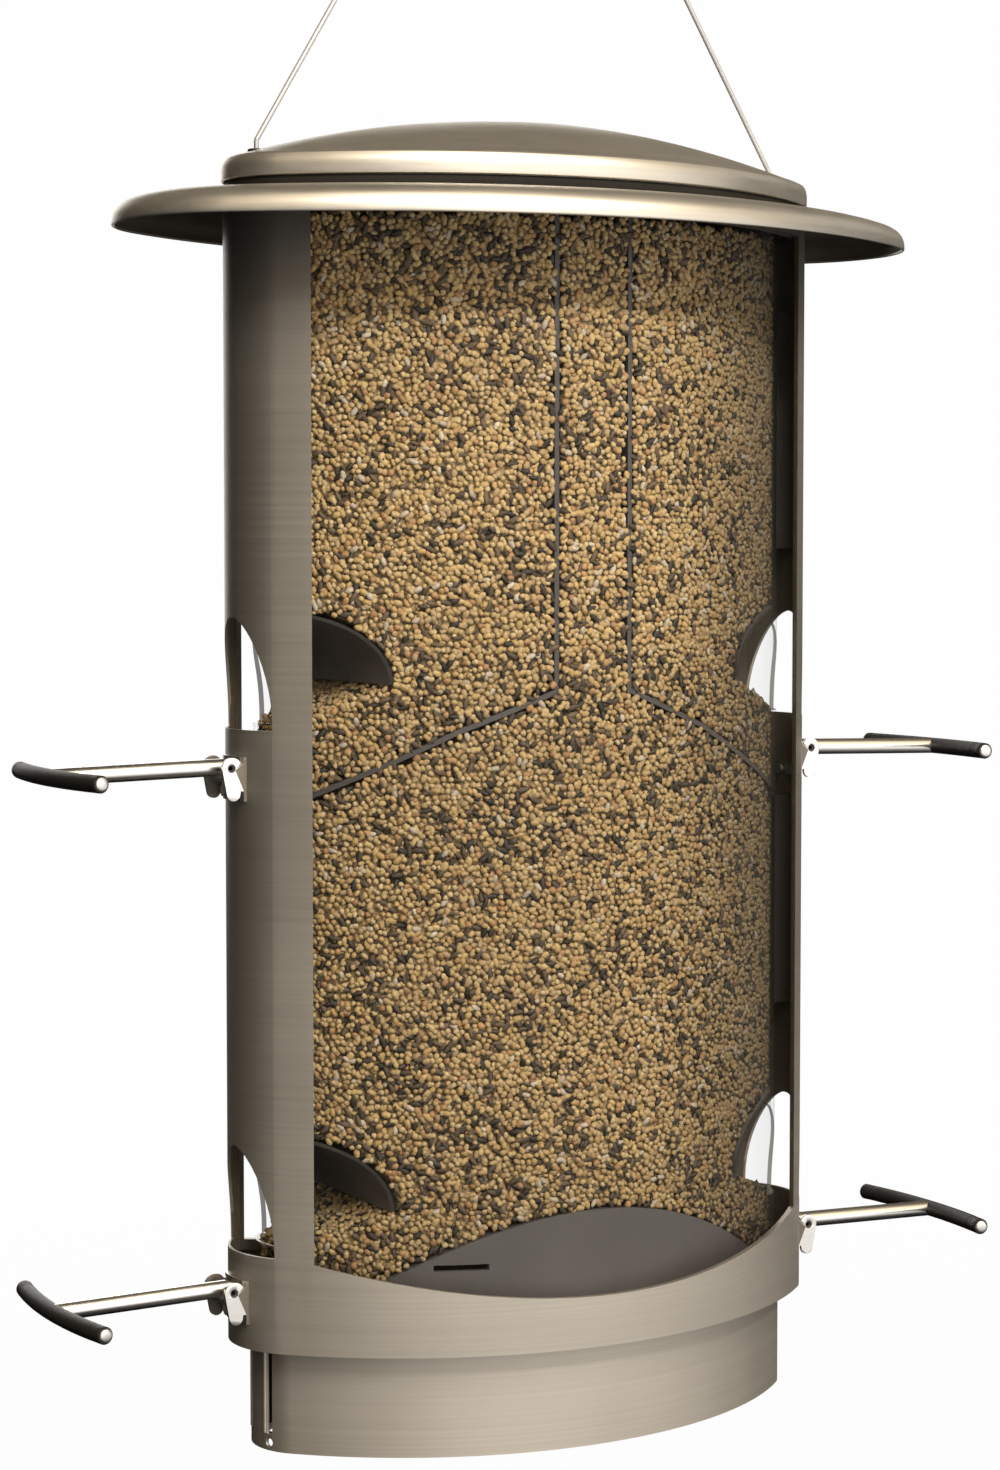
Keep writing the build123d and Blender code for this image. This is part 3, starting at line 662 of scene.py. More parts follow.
# brim: recessed neck under the crown, gentle slope, rounded lip, rolled edge, underside
rings = []
for i, z in ((1.3, 371.6), (1.25, 370.0), (1.2, 367.4), (1.0, 366.4), (0.4, 366.22)):
    rings.append(oval_level(*base_abr(i), z))
outer_profile = [(0.03, 366.2), (0.12, 366.18), (0.25, 366.1), (0.40, 365.9), (0.52, 365.65), (0.62, 365.3), (0.70, 364.92), (0.77, 364.45), (0.83, 363.9), (0.88, 363.25),
                 (0.92, 362.5), (0.95, 361.7), (0.972, 360.85), (0.987, 359.85), (0.996, 358.8), (1.0, 357.6)]
for t, z in outer_profile:
    rings.append(oval_level(*brim_abr(t), z))
for ang in range(0, 181, 30):
    c = math.cos(math.radians(ang))
    sn = math.sin(math.radians(ang))
    rings.append(oval_level(*brim_abr(1.0, 0.5 - 0.5 * c), 357.15 - 0.5 * sn))
under = [(1.0, 1.0, 358.6), (0.993, 0.95, 359.3), (0.98, 0.8, 360.0), (0.955, 0.6, 360.9), (0.92, 0.4, 361.7), (0.88, 0.25, 362.4), (0.83, 0.15, 363.05), (0.77, 0.1, 363.6),
         (0.70, 0.05, 364.1), (0.62, 0.0, 364.5), (0.52, 0.0, 364.85), (0.40, 0.0, 365.1), (0.25, 0.0, 365.3), (0.03, 0.0, 365.4)]
for t, d, z in under:
    rings.append(oval_level(*brim_abr(t, d), z))
for i, z in ((0.4, 365.45), (1.4, 365.6), (1.9, 366.2), (2.0, 367.4), (2.05, 370.2), (2.05, 371.6)):
    rings.append(oval_level(*base_abr(i), z))
verts, faces = loft(rings, wrap=True)
brim = piece("roof_brim_shell", verts, faces, CHAMPAGNE_ROOF, "roof", sharp=32.0, replaces=("roof_brim",))
brim.data.materials.append(SHADED_UNDERSIDE)
# painted shade: the brim's underside and inward-facing neck get the dark copy
for f in brim.data.polygons:
    if f.normal.z < -0.05 and f.center.z > (358.0 - EYE_Z) / 1000.0 or f.normal.z < 0.6 and f.center.z > (357.2 - EYE_Z) / 1000.0 and (
            f.center.xy.dot(f.normal.xy) < 0):
        f.material_index = 1

# dark strip in the crease between crown and brim: painted shade for the groove
rings = []
for k in range(10):
    ang = math.radians(36 * k)
    rings.append(oval_level(*base_abr(0.95 - 0.55 * math.cos(ang)), 368.1 + 1.75 * math.sin(ang)))
verts, faces = loft(rings, wrap=True)
piece("roof_crease_shade", verts, faces, CREASE_SHADE, "roof", sharp=60.0)


# grommets
def lathe(profile, centre, axis="z", segments=32):
    """profile: (radius, height) loop in mm, closed; centre in mm."""
    verts, faces = [], []
    n = len(profile)
    for k in range(segments):
        a = 2 * math.pi * k / segments
        for r, h in profile:
            if axis == "z":
                p = (centre[0] + r * math.cos(a), centre[1] + r * math.sin(a), centre[2] + h)
            elif axis == "y":
                p = (centre[0] + r * math.cos(a), centre[1] + h, centre[2] + r * math.sin(a))
            else:
                p = (centre[0] + h, centre[1] + r * math.cos(a), centre[2] + r * math.sin(a))
            verts.append(mm(np.array(p)))
    for k in range(segments):
        l = (k + 1) % segments
        for j in range(n):
            q = (j + 1) % n
            faces.append((k * n + j, l * n + j, l * n + q, k * n + q))
    return verts, faces


gv, gf = [], []
for s in (-1, 1):
    prof = [(1.75, -3.0)] + [(2.15 + 0.4 * math.cos(math.radians(t)), -3.0 - 0.4 * math.sin(math.radians(t))) for t in range(150, 0, -30)][::-1]
    prof = [(1.7, -2.6), (1.75, -3.1), (2.1, -3.4), (2.5, -3.1), (2.56, -2.4), (2.56, -0.9), (2.56, -0.3), (2.5, 0.0), (2.25, 0.15), (1.95, 0.08), (1.75, -0.2), (1.7, -0.7)]
    v, f = lathe(prof, (s * 88.0, 0, 378.75))
    off = len(gv)
    gv += v
    gf += [tuple(i + off for i in g) for g in f]
piece("cable_grommets", gv, gf, RUBBER, "roof", sharp=50.0, replaces=("roof_grommets",))

# ------------------------------------------------------------------ carried-over CAD nodes
for n, ob in NODES.items():
    slot = ob.data.materials[0].name if ob.data.materials else ""
    mat = {"champagne_metal": CHAMPAGNE, "bright_steel": BRIGHT, "plug_metal": PLUG, "grip_rubber": RUBBER, "grey_plastic": GREY,
           "clear_plastic": CLEAR, "spring_steel": SPRING, "wire_rope": WIRE, "seed_mix": SHADED_SEED_CORE}.get(slot.split(".")[0])
    if mat is not None:
        ob.data.materials[0] = mat
NODES["port_hoods"].data.materials[0] = HOOD
NODES["glide_pads"].data.materials[0] = DIVIDER
# painted shade: the pivot pins are coloured near-black so they read as shadowed holes
NODES["pivot_pins"].data.materials[0] = PIN_PAINTED_SHADE
for _n in NODES:
    if _n.startswith("perch_stem"):
        NODES[_n].data.materials[0] = STEM


def inner_faces(ob, test, material=SHADED_INNER_METAL):
    """Second material on the faces that test(centre in mm, normal) picks."""
    ob.data.materials.append(material)
    index = len(ob.data.materials) - 1
    for f in ob.data.polygons:
        c = f.center
        if test((c.x * 1000.0, c.y * 1000.0, c.z * 1000.0 + EYE_Z), f.normal):
            f.material_index = index


def inward(c, n):
    """True where a face of the oval wall looks towards the middle."""
    return wall_dot(c, n) < -0.6


def wall_dot(c, n):
    """Cosine between a face's normal and the wall's outward direction."""
    x, y = c[0], c[1]
    over = abs(x) - (A - R)
    if over > 0 and math.atan2(over, abs(y)) > PHI_T:
        d = Vector((math.copysign(over, x), y, 0.0))
    else:
        d = Vector((x, y + math.copysign(YC, y), 0.0))
    return d.normalized().dot(n) if d.length > 1e-6 else 1.0


shroud = refine("shroud_shell", "shroud_panels", width=0.22, material=CHAMPAGNE)
# painted shade: the inward faces of shroud and skirt and the skirt's underside get the darker metal
inner_faces(shroud, lambda c, n: inward(c, n))
skirt = refine("base_skirt", "skirt_band", width=0.25, material=CHAMPAGNE)
inner_faces(skirt, lambda c, n: inward(c, n) or c[2] < 6.0 and n.z < -0.5)
# painted shade: the base plate is coloured with the darker inside metal
NODES["base_plate"].data.materials[0] = SHADED_INNER_METAL
tube = refine("reservoir_tube", "clear_tube", width=0.3, material=CLEAR)
inner_faces(tube, lambda c, n: abs(wall_dot(c, n)) < 0.9, CLEAR_EDGE)
shelf = refine("hopper_divider", "divider_shelves", width=0.15, material=DIVIDER)
shelf.data.transform(Matrix.Diagonal((1.0, 0.974, 1.0, 1.0)))
for lv in ("lower", "upper"):
    for sd in ("left", "right"):
        ear = refine(f"perch_bracket_{lv}_{sd}", f"bracket_{lv}_{sd}", width=0.2, material=BRIGHT)
        # painted shade: the ears' inner faces and the web get the dark underside metal
        inner_faces(ear, lambda c, n: abs(c[0]) < 98.0 and abs(c[1]) > 7.7 or abs(c[0]) < 97.4 and n.y * c[1] > 0.6 * abs(c[1]), SHADED_UNDERSIDE)
        inner_faces(ear, lambda c, n: abs(c[0]) > 97.6 and n.y * c[1] < 0 and abs(n.y) > 0.6 or abs(c[0]) < 98.0 and abs(c[1]) < 6.3 and n.x * c[0] > 0 and abs(n.x) > 0.6, SHADED_UNDERSIDE)

# ------------------------------------------------------------------ perches
BAR_X, BAR_HALF, BAR_ARC = 152.6, 32.5, 176.0
SAG = math.radians(1.3)
for lv, zp in (("lower", 48.0), ("upper", 200.8)):
    for sd, s in (("left", -1), ("right", 1)):
        body = f"perch_{lv}_{sd}"

        def arc_pts(half, n):
            out = []
            for k in range(n):
                y = -half + 2 * half * k / (n - 1)
                ang = y / BAR_ARC
                out.append(sagged(BAR_X - BAR_ARC * (1 - math.cos(ang)), BAR_ARC * math.sin(ang)))
            return out

        def sagged(x, y):
            """Point of the cross bar's centre line, turned down about the pivot pin."""
            d = x - 100.0
            return Vector(mm(np.array([s * (100.0 + d * math.cos(SAG)), y, zp - d * math.sin(SAG)])).tolist())
        # grip sleeve with rounded ends and shallow moulded rings near each end
        half = BAR_HALF + 0.15
        n = 141
        pts = arc_pts(half, n)
        radii = []
        for k in range(n):
            y = -half + 2 * half * k / (n - 1)
            e = half - abs(y)
            r = 2.52
            if e < 0.5:
                r = 2.52 - 0.30 * (1 - e / 0.5) ** 2
            for g in (3.4, 5.2):
                r -= 0.12 * math.exp(-((e - g) / 0.34) ** 2)
            radii.append(r / 1000.0)
        v, f = tube_mesh(pts, 0.00252, sides=28, radii=radii)
        piece(f"grip_{lv}_{sd}", v, f, RUBBER, body, sharp=50.0, replaces=(f"perch_grip_{lv}_{sd}",))
        # bright rounded plugs
        pv, pf = [], []
        for e in (-1, 1):
            ang = e * BAR_HALF / BAR_ARC
            end = sagged(BAR_X - BAR_ARC * (1 - math.cos(ang)), BAR_ARC * math.sin(ang))
            tang = Vector((-s * math.sin(ang) * e, math.cos(ang) * e, 0)).normalized()
            line = [end + tang * (d / 1000.0) for d in (-1.0, -0.4, 0.1, 0.32, 0.5, 0.64, 0.74, 0.80, 0.82)]
            rr = [r / 1000.0 for r in (2.02, 2.04, 2.04, 1.98, 1.86, 1.62, 1.25, 0.78, 0.25)]
            v, f = tube_mesh(line, 0.0025, sides=28, radii=rr)
            off = len(pv)
            pv += v
            pf += [tuple(i + off for i in g) for g in f]
        piece(f"plugs_{lv}_{sd}", pv, pf, PLUG, body, sharp=60.0, replaces=(f"perch_end_plugs_{lv}_{sd}",))

# ------------------------------------------------------------------ return springs
sv, sf = [], []
for s in (-1, 1):
    z0, z1 = 4.65 + 0.5, 56.95 - 0.5
    turns = 12.0
    pts = []
    n = 440
    for k in range(n + 1):
        t = k / n
        # closed turns at both ends, open between
        end = 0.09
        if t < end:
            z = z0 + 0.9 * (t / end) * 1.05
        elif t > 1 - end:
            z = z1 - 0.9 * ((1 - t) / end) * 1.05
        else:
            z = z0 + 0.945 + (z1 - z0 - 1.89) * (t - end) / (1 - 2 * end)
        a = 2 * math.pi * turns * t
        pts.append(Vector(mm(np.array([s * 24.0 + 4.15 * math.cos(a), 4.15 * math.sin(a), z])).tolist()))
    v, f = tube_mesh(pts, 0.0005, sides=8)
    off = len(sv)
    sv += v
    sf += [tuple(i + off for i in g) for g in f]
springs = piece("coil_springs", sv, sf, SPRING, "hopper", sharp=60.0, replaces=("return_springs",), recalc=False)
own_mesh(springs)

# ------------------------------------------------------------------ seed
HOOD_A, HOOD_H, HOOD_Z = 29.5, 21.3, (71.9, 224.9)
DIV_X, DIV_T = 13.0, 1.5
SEED_TOP = 360.5


def floor_z(x):
    return np.maximum(69.5 - 19.0 * (x / 62.0) ** 2, 47.0)


def seed_core(node, name, shrink):
    src = NODES[node]
    me = src.data.copy()
    ob = link(bpy.data.objects.new(name, me))
    if me.has_custom_normals:
        with bpy.context.temp_override(object=ob, active_object=ob):
            bpy.ops.mesh.customdata_custom_splitnormals_clear()
    bm = bmesh.new()
    bm.from_mesh(me)
    bmesh.ops.remove_doubles(bm, verts=bm.verts, dist=2e-6)
    bmesh.ops.recalc_face_normals(bm, faces=bm.faces)
    bm.normal_update()
    moves = {}
    for v in bm.verts:
        moves[v.index] = v.co - v.normal * (shrink / 1000.0) * min(v.calc_shell_factor(), 2.0)
    for v in bm.verts:
        v.co = moves[v.index]
    bm.to_mesh(me)
    bm.free()
    me.materials.clear()
    me.materials.append(SHADED_SEED_CORE)
    mark_sharp(me, 40)
    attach(ob, "hopper")
    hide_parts(node)
    return ob


seed_core("seed_fill_lower", "seed_bulk_lower", 1.9)
seed_core("seed_fill_upper", "seed_bulk_upper", 1.9)


def unit_seed(kind, low=False):
    """Low closed grain along X: rings of six (five where it is half hidden), verts (n, 3) and faces."""
    if kind == "dark":
        prof = [(-0.62, 0.58), (0.0, 1.0), (0.55, 0.78)]
        tips = (-1.0, 1.0)
    elif kind == "round":
        prof = [(-0.62, 0.80), (0.0, 1.0), (0.62, 0.80)]
        tips = (-0.98, 0.98)
    else:
        prof = [(-0.6, 0.86), (0.1, 1.0), (0.7, 0.62)]
        tips = (-0.95, 1.0)
    m = 6
    if low:
        m = 5
        prof = [prof[0], prof[-1]]
    vs = [(tips[0], 0, 0)]
    for x, r in prof:
        for k in range(m):
            a = 2 * math.pi * (k + 0.5 * (x > 0 and 1 or 0)) / m
            vs.append((x, r * math.cos(a), r * math.sin(a)))
    vs.append((tips[1], 0, 0))
    fs = []
    for k in range(m):
        fs.append((0, 1 + (k + 1) % m, 1 + k))
    for j in range(len(prof) - 1):
        for k in range(m):
            a = 1 + j * m + k
            b = 1 + j * m + (k + 1) % m
            c = 1 + (j + 1) * m + (k + 1) % m
            d = 1 + (j + 1) * m + k
            fs.append((a, b, c))
            fs.append((a, c, d))
    base = 1 + (len(prof) - 1) * m
    tip = len(vs) - 1
    for k in range(m):
        fs.append((base + k, base + (k + 1) % m, tip))
    return np.array(vs, float), np.array(fs, int)


UNIT = {k: unit_seed(k) for k in ("dark", "round", "chip")}
UNIT_LOW = {k: unit_seed(k, True) for k in ("dark", "round", "chip")}

# kind, half length, half width, half thickness (mm), share, colours (linear)
MIX = [
    ("dark", 2.35, 1.03, 0.74, 0.165, [(0.026, 0.020, 0.013), (0.042, 0.030, 0.018), (0.066, 0.045, 0.026), (0.092, 0.062, 0.035)]),
    ("round", 1.02, 0.93, 0.85, 0.46, [(0.45, 0.305, 0.120), (0.49, 0.345, 0.150), (0.40, 0.260, 0.097), (0.52, 0.385, 0.190), (0.35, 0.215, 0.078)]),
    ("round", 1.35, 1.18, 0.98, 0.06, [(0.30, 0.125, 0.042), (0.37, 0.175, 0.060), (0.25, 0.105, 0.038)]),
    ("chip", 1.55, 1.10, 0.80, 0.27, [(0.46, 0.295, 0.096), (0.50, 0.340, 0.130), (0.40, 0.235, 0.072), (0.38, 0.255, 0.108), (0.32, 0.205, 0.092)]),
    ("chip", 1.70, 1.00, 0.70, 0.028, [(0.54, 0.465, 0.34), (0.44, 0.39, 0.30), (0.40, 0.35, 0.27)]),
]
SHARES = np.array([m[4] for m in MIX])
SHARES = SHARES / SHARES.sum()


def value_noise(p, scale, seed):
    """Smooth 2D noise in 0..1 on points p (n, 2)."""
    g = np.random.default_rng(seed).random((64, 64))
    q = p / scale
    i = np.floor(q).astype(int)
    f = q - i
    f = f * f * (3 - 2 * f)
    def at(a, b):
        return g[(i[:, 0] + a) % 64, (i[:, 1] + b) % 64]
    return (at(0, 0) * (1 - f[:, 0]) * (1 - f[:, 1]) + at(1, 0) * f[:, 0] * (1 - f[:, 1])
            + at(0, 1) * (1 - f[:, 0]) * f[:, 1] + at(1, 1) * f[:, 0] * f[:, 1])


def jitter_grid(u0, u1, v0, v1, step, seed):
    r = np.random.default_rng(seed)
    us = np.arange(u0, u1, step)
    vs = np.arange(v0, v1, step * 0.866)
    out = []
    for j, v in enumerate(vs):
        for u in us:
            out.append((u + (0.5 * step if j % 2 else 0.0), v))
    out = np.array(out)
    out += r.uniform(-0.34, 0.34, out.shape) * step
    return out


def segment_distance(px, pz, x0, z0, x1, z1):
    dx, dz = x1 - x0, z1 - z0
    t = np.clip(((px - x0) * dx + (pz - z0) * dz) / (dx * dx + dz * dz), 0, 1)
    return np.hypot(px - (x0 + t * dx), pz - (z0 + t * dz))


DIV_LINES = []
for s in (-1, 1):
    DIV_LINES += [(s * (DIV_X - DIV_T / 2), 222.0, s * (DIV_X - DIV_T / 2), 366.0),
                  (s * DIV_X, 222.1, s * 41.0, 211.1), (s * 41.0, 211.1, s * 73.0, 195.1), (s * 73.0, 195.1, s * 92.0, 185.1)]


def fill_mask(x, z, margin):
    """Where the seed meets the panes: true inside the filled spaces, margin mm from any plastic."""
    ok = (z < SEED_TOP - 0.3) & (z > floor_z(x) + margin * 0.8)
    for line in DIV_LINES:
        ok &= segment_distance(x, z, *line) > DIV_T / 2 + margin * 0.45
    for zc in HOOD_Z:
        ax = np.abs(x)
        inside_hood = (((ax - 88.0) / (HOOD_A + margin)) ** 2 + ((z - zc) / (HOOD_H + margin)) ** 2 < 1.0) & (ax > 50) & (z > zc - 0.2)
        tip = 88.0 - HOOD_A
        slope = zc - (ax - tip) * 0.39
        cavity = (ax > tip - margin * 0.5) & (z <= zc) & (z > slope - margin)
        ok &= ~(inside_hood | cavity)
    return ok


class SeedBatch:
    def __init__(self):
        self.v, self.f, self.c, self.n = [], [], [], 0

    def put(self, kind, size, centre, frame3, colour, low=False):
        v, f = (UNIT_LOW if low else UNIT)[kind]
        pts = (v * np.array(size)) @ frame3 + centre
        self.v.append(pts)
        self.f.append(f + self.n)
        self.c.append(np.tile(np.append(colour, 1.0), (len(v), 1)))
        self.n += len(v)

    def make(self, name, body="hopper"):
        v = mm(np.concatenate(self.v))
        f = np.concatenate(self.f)
        me = bpy.data.meshes.new(name)
        me.vertices.add(len(v))
        me.vertices.foreach_set("co", v.astype(np.float32).ravel())
        me.loops.add(len(f) * 3)
        me.loops.foreach_set("vertex_index", f.astype(np.int32).ravel())
        me.polygons.add(len(f))
        me.polygons.foreach_set("loop_start", (np.arange(len(f)) * 3).astype(np.int32))
        me.update(calc_edges=True)
        me.polygons.foreach_set("use_smooth", np.ones(len(f), bool))
        ca = me.color_attributes.new("Col", "FLOAT_COLOR", "POINT")
        ca.data.foreach_set("color", np.concatenate(self.c).astype(np.float32).ravel())
        me.materials.append(SEED)
        ob = link(bpy.data.objects.new(name, me))
        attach(ob, body)
        return ob


MEAN_COL = sum(m[4] * np.mean(np.array(m[5]), axis=0) for m in MIX[1:]) / sum(m[4] for m in MIX[1:])


def smooth(v, a, b):
    t = min(max((v - a) / (b - a), 0.0), 1.0)
    return t * t * (3 - 2 * t)


def shade(p):
    """Painted shade on the seed: duller towards the right-hand end and the floor, where less light gets in."""
    f = 1.19 - 0.80 * smooth(float(p[0]), 12.0, 80.0)
    f *= 1.0 - 0.17 * smooth(-float(p[2]), -262.0, -200.0)
    return f * (1.0 - 0.15 * smooth(-float(p[2]), -105.0, -62.0) - 0.25 * smooth(-float(p[2]), -60.0, -50.0))


def place(batch, r, origin, normal, tangent, dark_bias, layer, face_inset=0.0, lay=18.0, low=False, kind_limit=None):
    """One grain against a surface: origin is the surface point, normal points out of the seed."""
    w = SHARES.copy()
    w[0] *= dark_bias
    if kind_limit is not None:
        w = w * kind_limit
    w = w / w.sum()
    kind, hl, hw, ht, _, cols = MIX[r.choice(len(MIX), p=w)]
    size = np.array([hl, hw, ht]) * r.uniform(0.86, 1.12) * np.array([r.uniform(0.92, 1.08), r.uniform(0.94, 1.06), 1.0])
    spin = r.uniform(0, 2 * math.pi)
    tilt = math.radians(r.normal(0, lay))
    roll = r.uniform(-0.5, 0.5)
    bi = np.cross(normal, tangent)
    ax = tangent * math.cos(spin) + bi * math.sin(spin)
    ax = ax * math.cos(tilt) + normal * math.sin(tilt)
    side = np.cross(normal, ax)
    side /= np.linalg.norm(side)
    top = np.cross(ax, side)
    s2 = side * math.cos(roll) + top * math.sin(roll)
    t2 = np.cross(ax, s2)
    frame3 = np.array([ax, s2, t2])
    reach = math.sqrt(sum((size[k] * float(frame3[k] @ normal)) ** 2 for k in range(3)))
    depth = face_inset + reach + layer
    col = np.array(cols[r.integers(len(cols))]) * r.uniform(0.82, 1.08)
    if kind != "dark":
        col = (MEAN_COL + (col - MEAN_COL) * 0.62) * np.array([0.80, 0.85, 0.98])
    # painted light: the hidden second layer is lightened to lift the shade in the gaps between grains
    if low:
        col = col * 1.35
    col = col * shade(origin)
    batch.put(kind, size, origin - normal * depth, frame3, np.clip(col, 0, 1), low)


PANE_I = 9.4
STEP1, STEP2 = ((1.95, 2.6))


def pane_seeds(sign, tag, seed):
    """Seed pressed against the front (sign -1) or back (sign 1) of the tube."""
    r = np.random.default_rng(seed)
    rad = BIG - PANE_I
    lim = rad * (PHI_T - 0.02)
    bands = [(46.0, 109.0), (109.0, 172.0), (172.0, 235.0), (235.0, 298.0), (298.0, 361.0)]
    for b, (z0, z1) in enumerate(bands):
        batch = SeedBatch()
        for step, layer_lo, layer_hi, margin in ((STEP1, 0.0, 0.40, 0.75), (STEP2, 0.9, 1.5, 0.9)):
            g = jitter_grid(-lim, lim, z0, z1, step, seed * 10 + b * 3 + int(layer_lo))
            phi = g[:, 0] / rad
            x = rad * np.sin(phi)
            keep = fill_mask(x, g[:, 1], margin)
            g, phi, x = g[keep], phi[keep], x[keep]
            bias = 0.35 + 1.7 * value_noise(g + 500, 17.0, seed + 5) ** 1.6 + 0.5 * value_noise(g + 500, 6.0, seed + 6)
            for (u, z), p, bb in zip(g, phi, bias):
                nrm = np.array([math.sin(p), -math.cos(p), 0.0])
                o = np.array([rad * nrm[0], YC + rad * nrm[1], z])
                if sign > 0:
                    nrm = nrm * np.array([1, -1, 1])
                    o = o * np.array([1, -1, 1])
                tan = np.array([-nrm[1], nrm[0], 0.0])
                place(batch, r, o, nrm, tan, bb, r.uniform(layer_lo, layer_hi), low=layer_lo > 0.5)
        batch.make(f"seed_{tag}_{b + 1}")


pane_seeds(-1, "front", 11)
pane_seeds(1, "back", 23)

# seed piled inside each port, from the hood's lip down to the sill
batch = SeedBatch()
r = np.random.default_rng(31)
for zc in HOOD_Z:
    for s in (-1, 1):
        tip = 88.0 - HOOD_A
        g = jitter_grid(0.0, 28.0, -32.0, 32.0, STEP1, 40 + int(zc) + s)
        for a, y in g:
            x = tip + a * 0.93
            z = zc - (x - tip) * 0.39 - 0.25
            lim = 85.5
            if x > lim or abs(y) > (math.sqrt(max((BIG - 10.7) ** 2 - x * x, 0)) - YC):
                continue
            nrm = np.array([s * 0.363, 0.0, 0.932])
            tan = np.array([s * 0.932, 0.0, -0.363])
            place(batch, r, np.array([s * x, y, z]), nrm, tan, r.uniform(0.5, 1.6), r.uniform(-0.5, 0.6), lay=26.0)
batch.make("seed_ports")

# seed showing at the ports' sides and over the top of the fill
batch = SeedBatch()
r = np.random.default_rng(57)
g = jitter_grid(-84.0, 84.0, -42.0, 42.0, STEP1 * 1.15, 77)
for x, y in g:
    if abs(y) > math.sqrt(max((BIG - 11.3) ** 2 - x * x, 0)) - YC or abs(abs(x) - 12.25) < 1.9:
        continue
    place(batch, r, np.array([x, y, SEED_TOP - 1.2]), np.array([0, 0, 1.0]), np.array([1.0, 0, 0]), r.uniform(0.5, 1.5), r.uniform(-0.4, 0.5), lay=24.0)
batch.make("seed_top")
for s, tag in ((-1, "left"), (1, "right")):
    batch = SeedBatch()
    for z0, z1, lo, hi in ((97.0, 184.0, -0.8, 0.8), (249.0, 361.0, -0.8, 0.8), (49.0, 60.0, -0.8, 0.8), (190.0, 213.0, -0.8, 0.8)):
        rad = R - PANE_I
        gg = jitter_grid(rad * lo, rad * hi, z0, z1, STEP1, 90 + int(z0) + s + int(hi * 10))
        for u, z in gg:
            p = u / rad
            nrm = np.array([s * math.cos(p), math.sin(p), 0.0])
            o = np.array([s * (A - R) + rad * nrm[0], rad * nrm[1], z])
            if not fill_mask(np.array([o[0]]), np.array([z]), 0.95)[0]:
                continue
            place(batch, r, o, nrm, np.array([-nrm[1], nrm[0], 0.0]), r.uniform(0.4, 1.5), r.uniform(0.0, 0.45))
    batch.make(f"seed_end_{tag}")

# ------------------------------------------------------------------ stage and light
def emission(name, colour, strength):
    m = bpy.data.materials.new(name)
    m.use_nodes = True
    nt = m.node_tree
    nt.nodes.clear()
    e = nt.nodes.new("ShaderNodeEmission")
    e.inputs["Color"].default_value = (*colour, 1)
    e.inputs["Strength"].default_value = strength
    o = nt.nodes.new("ShaderNodeOutputMaterial")
    nt.links.new(e.outputs[0], o.inputs[0])
    return m


floor_me = bpy.data.meshes.new("floor")
bm = bmesh.new()
bmesh.ops.create_circle(bm, cap_ends=True, segments=96, radius=3.0)
bmesh.ops.translate(bm, verts=bm.verts, vec=(0, 0, -0.66))
bm.to_mesh(floor_me)
bm.free()
floor = link(bpy.data.objects.new("floor", floor_me))
LOBE = (math.sin(math.radians(14.0)), -math.cos(math.radians(14.0)), 0.0)
LOBE_HIGH = (0.0, -1.0, 0.0)
LOBE_FLOOR = (math.sin(math.radians(15.0)), -math.cos(math.radians(15.0)), 0.0)
STUDIO_LOW = [(0.0, 0.015), (0.11, 0.015), (0.33, 0.025), (0.55, 0.04), (0.72, 0.075), (0.80, 0.18), (0.90, 0.62), (0.97, 1.0)]
STUDIO_FLOOR = [(0.0, 0.012), (0.22, 0.018), (0.40, 0.04), (0.587, 0.17), (0.655, 0.31), (0.78, 0.64), (0.82, 0.74), (0.92, 1.0), (1.0, 1.0)]
STUDIO_HIGH = [(0.0, 0.055), (0.33, 0.045), (0.50, 0.06), (0.65, 0.15), (0.885, 0.75), (1.0, 0.75)]
WARM = (1.0, 0.972, 0.93)
PEAK = 2.4


def turned_ramp(nt, vector, stops, tint=WARM, lobe=LOBE):
    """Brightness by compass direction, brightest in front of the feeder."""
    flat = nt.nodes.new("ShaderNodeVectorMath")
    flat.operation = "MULTIPLY"
    nt.links.new(vector, flat.inputs[0])
    flat.inputs[1].default_value = (1.0, 1.0, 0.0)
    unit = nt.nodes.new("ShaderNodeVectorMath")
    unit.operation = "NORMALIZE"
    nt.links.new(flat.outputs["Vector"], unit.inputs[0])
    dot = nt.nodes.new("ShaderNodeVectorMath")
    dot.operation = "DOT_PRODUCT"
    nt.links.new(unit.outputs["Vector"], dot.inputs[0])
    dot.inputs[1].default_value = lobe
    return ramp(nt, remap(nt, dot.outputs["Value"], -1.0, 1.0, 0.0, 1.0), [(p, tuple(v * c for c in tint)) for p, v in stops])


# The floor is pale and evenly lit where it is seen; what it throws back on the feeder follows the studio.
FLOOR, _nt, _b = new_material("pale_floor")
_nt.nodes.remove(_b)
_tc = _nt.nodes.new("ShaderNodeTexCoord")
_len = _nt.nodes.new("ShaderNodeVectorMath")
_len.operation = "LENGTH"
_xy = _nt.nodes.new("ShaderNodeVectorMath")
_xy.operation = "MULTIPLY"
_nt.links.new(_tc.outputs["Object"], _xy.inputs[0])
_xy.inputs[1].default_value = (1.0, 1.0, 0.0)
_nt.links.new(_xy.outputs["Vector"], _len.inputs[0])
_seen = _nt.nodes.new("ShaderNodeEmission")
_nt.links.new(ramp(_nt, remap(_nt, _len.outputs["Value"], 0.0, 1.2, 0.0, 1.0), [(0.0, (0.965, 0.965, 0.96)), (0.35, (0.985, 0.985, 0.982)), (1.0, (0.992, 0.992, 0.990))]), _seen.inputs["Color"])
_bounce = _nt.nodes.new("ShaderNodeEmission")
_nt.links.new(turned_ramp(_nt, _tc.outputs["Object"], STUDIO_FLOOR, WARM, LOBE_FLOOR), _bounce.inputs["Color"])
_nt.links.new(remap(_nt, _len.outputs["Value"], 0.30, 0.85, 0.05, 1.30), _bounce.inputs["Strength"])
_lp = _nt.nodes.new("ShaderNodeLightPath")
_mx = _nt.nodes.new("ShaderNodeMixShader")
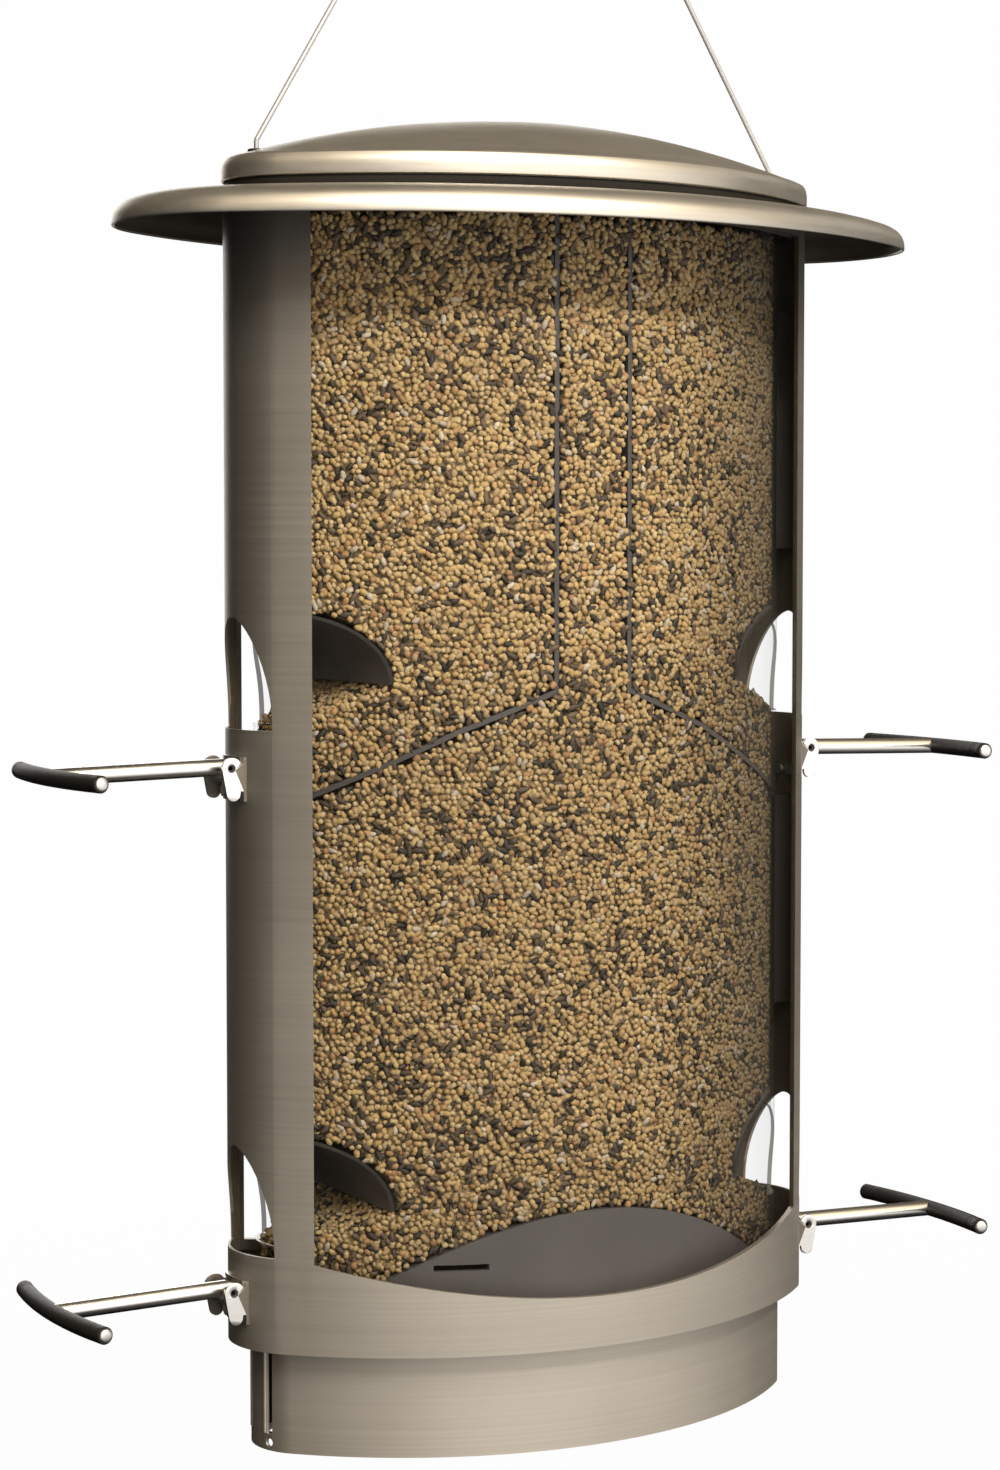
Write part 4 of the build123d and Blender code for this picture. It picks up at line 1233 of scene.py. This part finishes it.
_nt.links.new(_lp.outputs["Is Camera Ray"], _mx.inputs[0])
_nt.links.new(_bounce.outputs[0], _mx.inputs[1])
_nt.links.new(_seen.outputs[0], _mx.inputs[2])
_nt.links.new(_mx.outputs[0], _nt.nodes["Material Output"].inputs[0])
floor_me.materials.append(FLOOR)

world = bpy.data.worlds.new("studio")
bpy.context.scene.world = world
world.use_nodes = True
nt = world.node_tree
nt.nodes.clear()
out = nt.nodes.new("ShaderNodeOutputWorld")
bg_seen = nt.nodes.new("ShaderNodeBackground")
bg_seen.inputs["Color"].default_value = (0.992, 0.992, 0.990, 1)
bg_seen.inputs["Strength"].default_value = 1.0
bg_light = nt.nodes.new("ShaderNodeBackground")
tc = nt.nodes.new("ShaderNodeTexCoord")
sp = nt.nodes.new("ShaderNodeSeparateXYZ")
nt.links.new(tc.outputs["Generated"], sp.inputs[0])
low = turned_ramp(nt, tc.outputs["Generated"], STUDIO_LOW)
high = turned_ramp(nt, tc.outputs["Generated"], STUDIO_HIGH, (1.0, 0.81, 0.56), LOBE_HIGH)
rise = nt.nodes.new("ShaderNodeMix")
rise.data_type = "RGBA"
nt.links.new(remap(nt, sp.outputs["Z"], 0.10, 0.45, 0.0, 1.0), rise.inputs[0])
nt.links.new(low, rise.inputs[6])
nt.links.new(high, rise.inputs[7])
nt.links.new(rise.outputs[2], bg_light.inputs["Color"])
bg_light.inputs["Strength"].default_value = PEAK
lp = nt.nodes.new("ShaderNodeLightPath")
mx = nt.nodes.new("ShaderNodeMixShader")
nt.links.new(lp.outputs["Is Camera Ray"], mx.inputs[0])
nt.links.new(bg_light.outputs[0], mx.inputs[1])
nt.links.new(bg_seen.outputs[0], mx.inputs[2])
nt.links.new(mx.outputs[0], out.inputs["Surface"])


def area(name, az, el, dist, sx, sy, power, colour=(1, 1, 1), target=(0, 0, -0.31)):
    """Soft box; azimuth 0 is straight in front (-Y), positive towards +X."""
    d = bpy.data.lights.new(name, "AREA")
    d.shape = "RECTANGLE"
    d.size = sx
    d.size_y = sy
    d.energy = power
    d.color = colour
    o = link(bpy.data.objects.new(name, d))
    a, e = math.radians(az), math.radians(el)
    pos = Vector((math.sin(a) * math.cos(e), -math.cos(a) * math.cos(e), math.sin(e))) * dist + Vector(target)
    o.location = pos
    o.rotation_euler = (Vector(target) - pos).to_track_quat("-Z", "Y").to_euler()
    return o


area("key_front", -3, 39.5, 2.2, 1.65, 0.16, 52, (1.0, 0.982, 0.95))
area("top_soft", -6, 64, 2.0, 1.0, 0.9, 4.8, (1.0, 0.97, 0.92))
area("fill_right", 92, 30, 2.2, 1.4, 0.8, 1.5, (1.0, 0.98, 0.95))

area("fill_back", 168, 12, 2.2, 1.6, 1.2, 17.0, (1.0, 0.98, 0.95))

sc = bpy.context.scene
sc.view_settings.view_transform = "Standard"
sc.view_settings.look = "None"
sc.view_settings.exposure = 0.0
sc.view_settings.gamma = 1.0
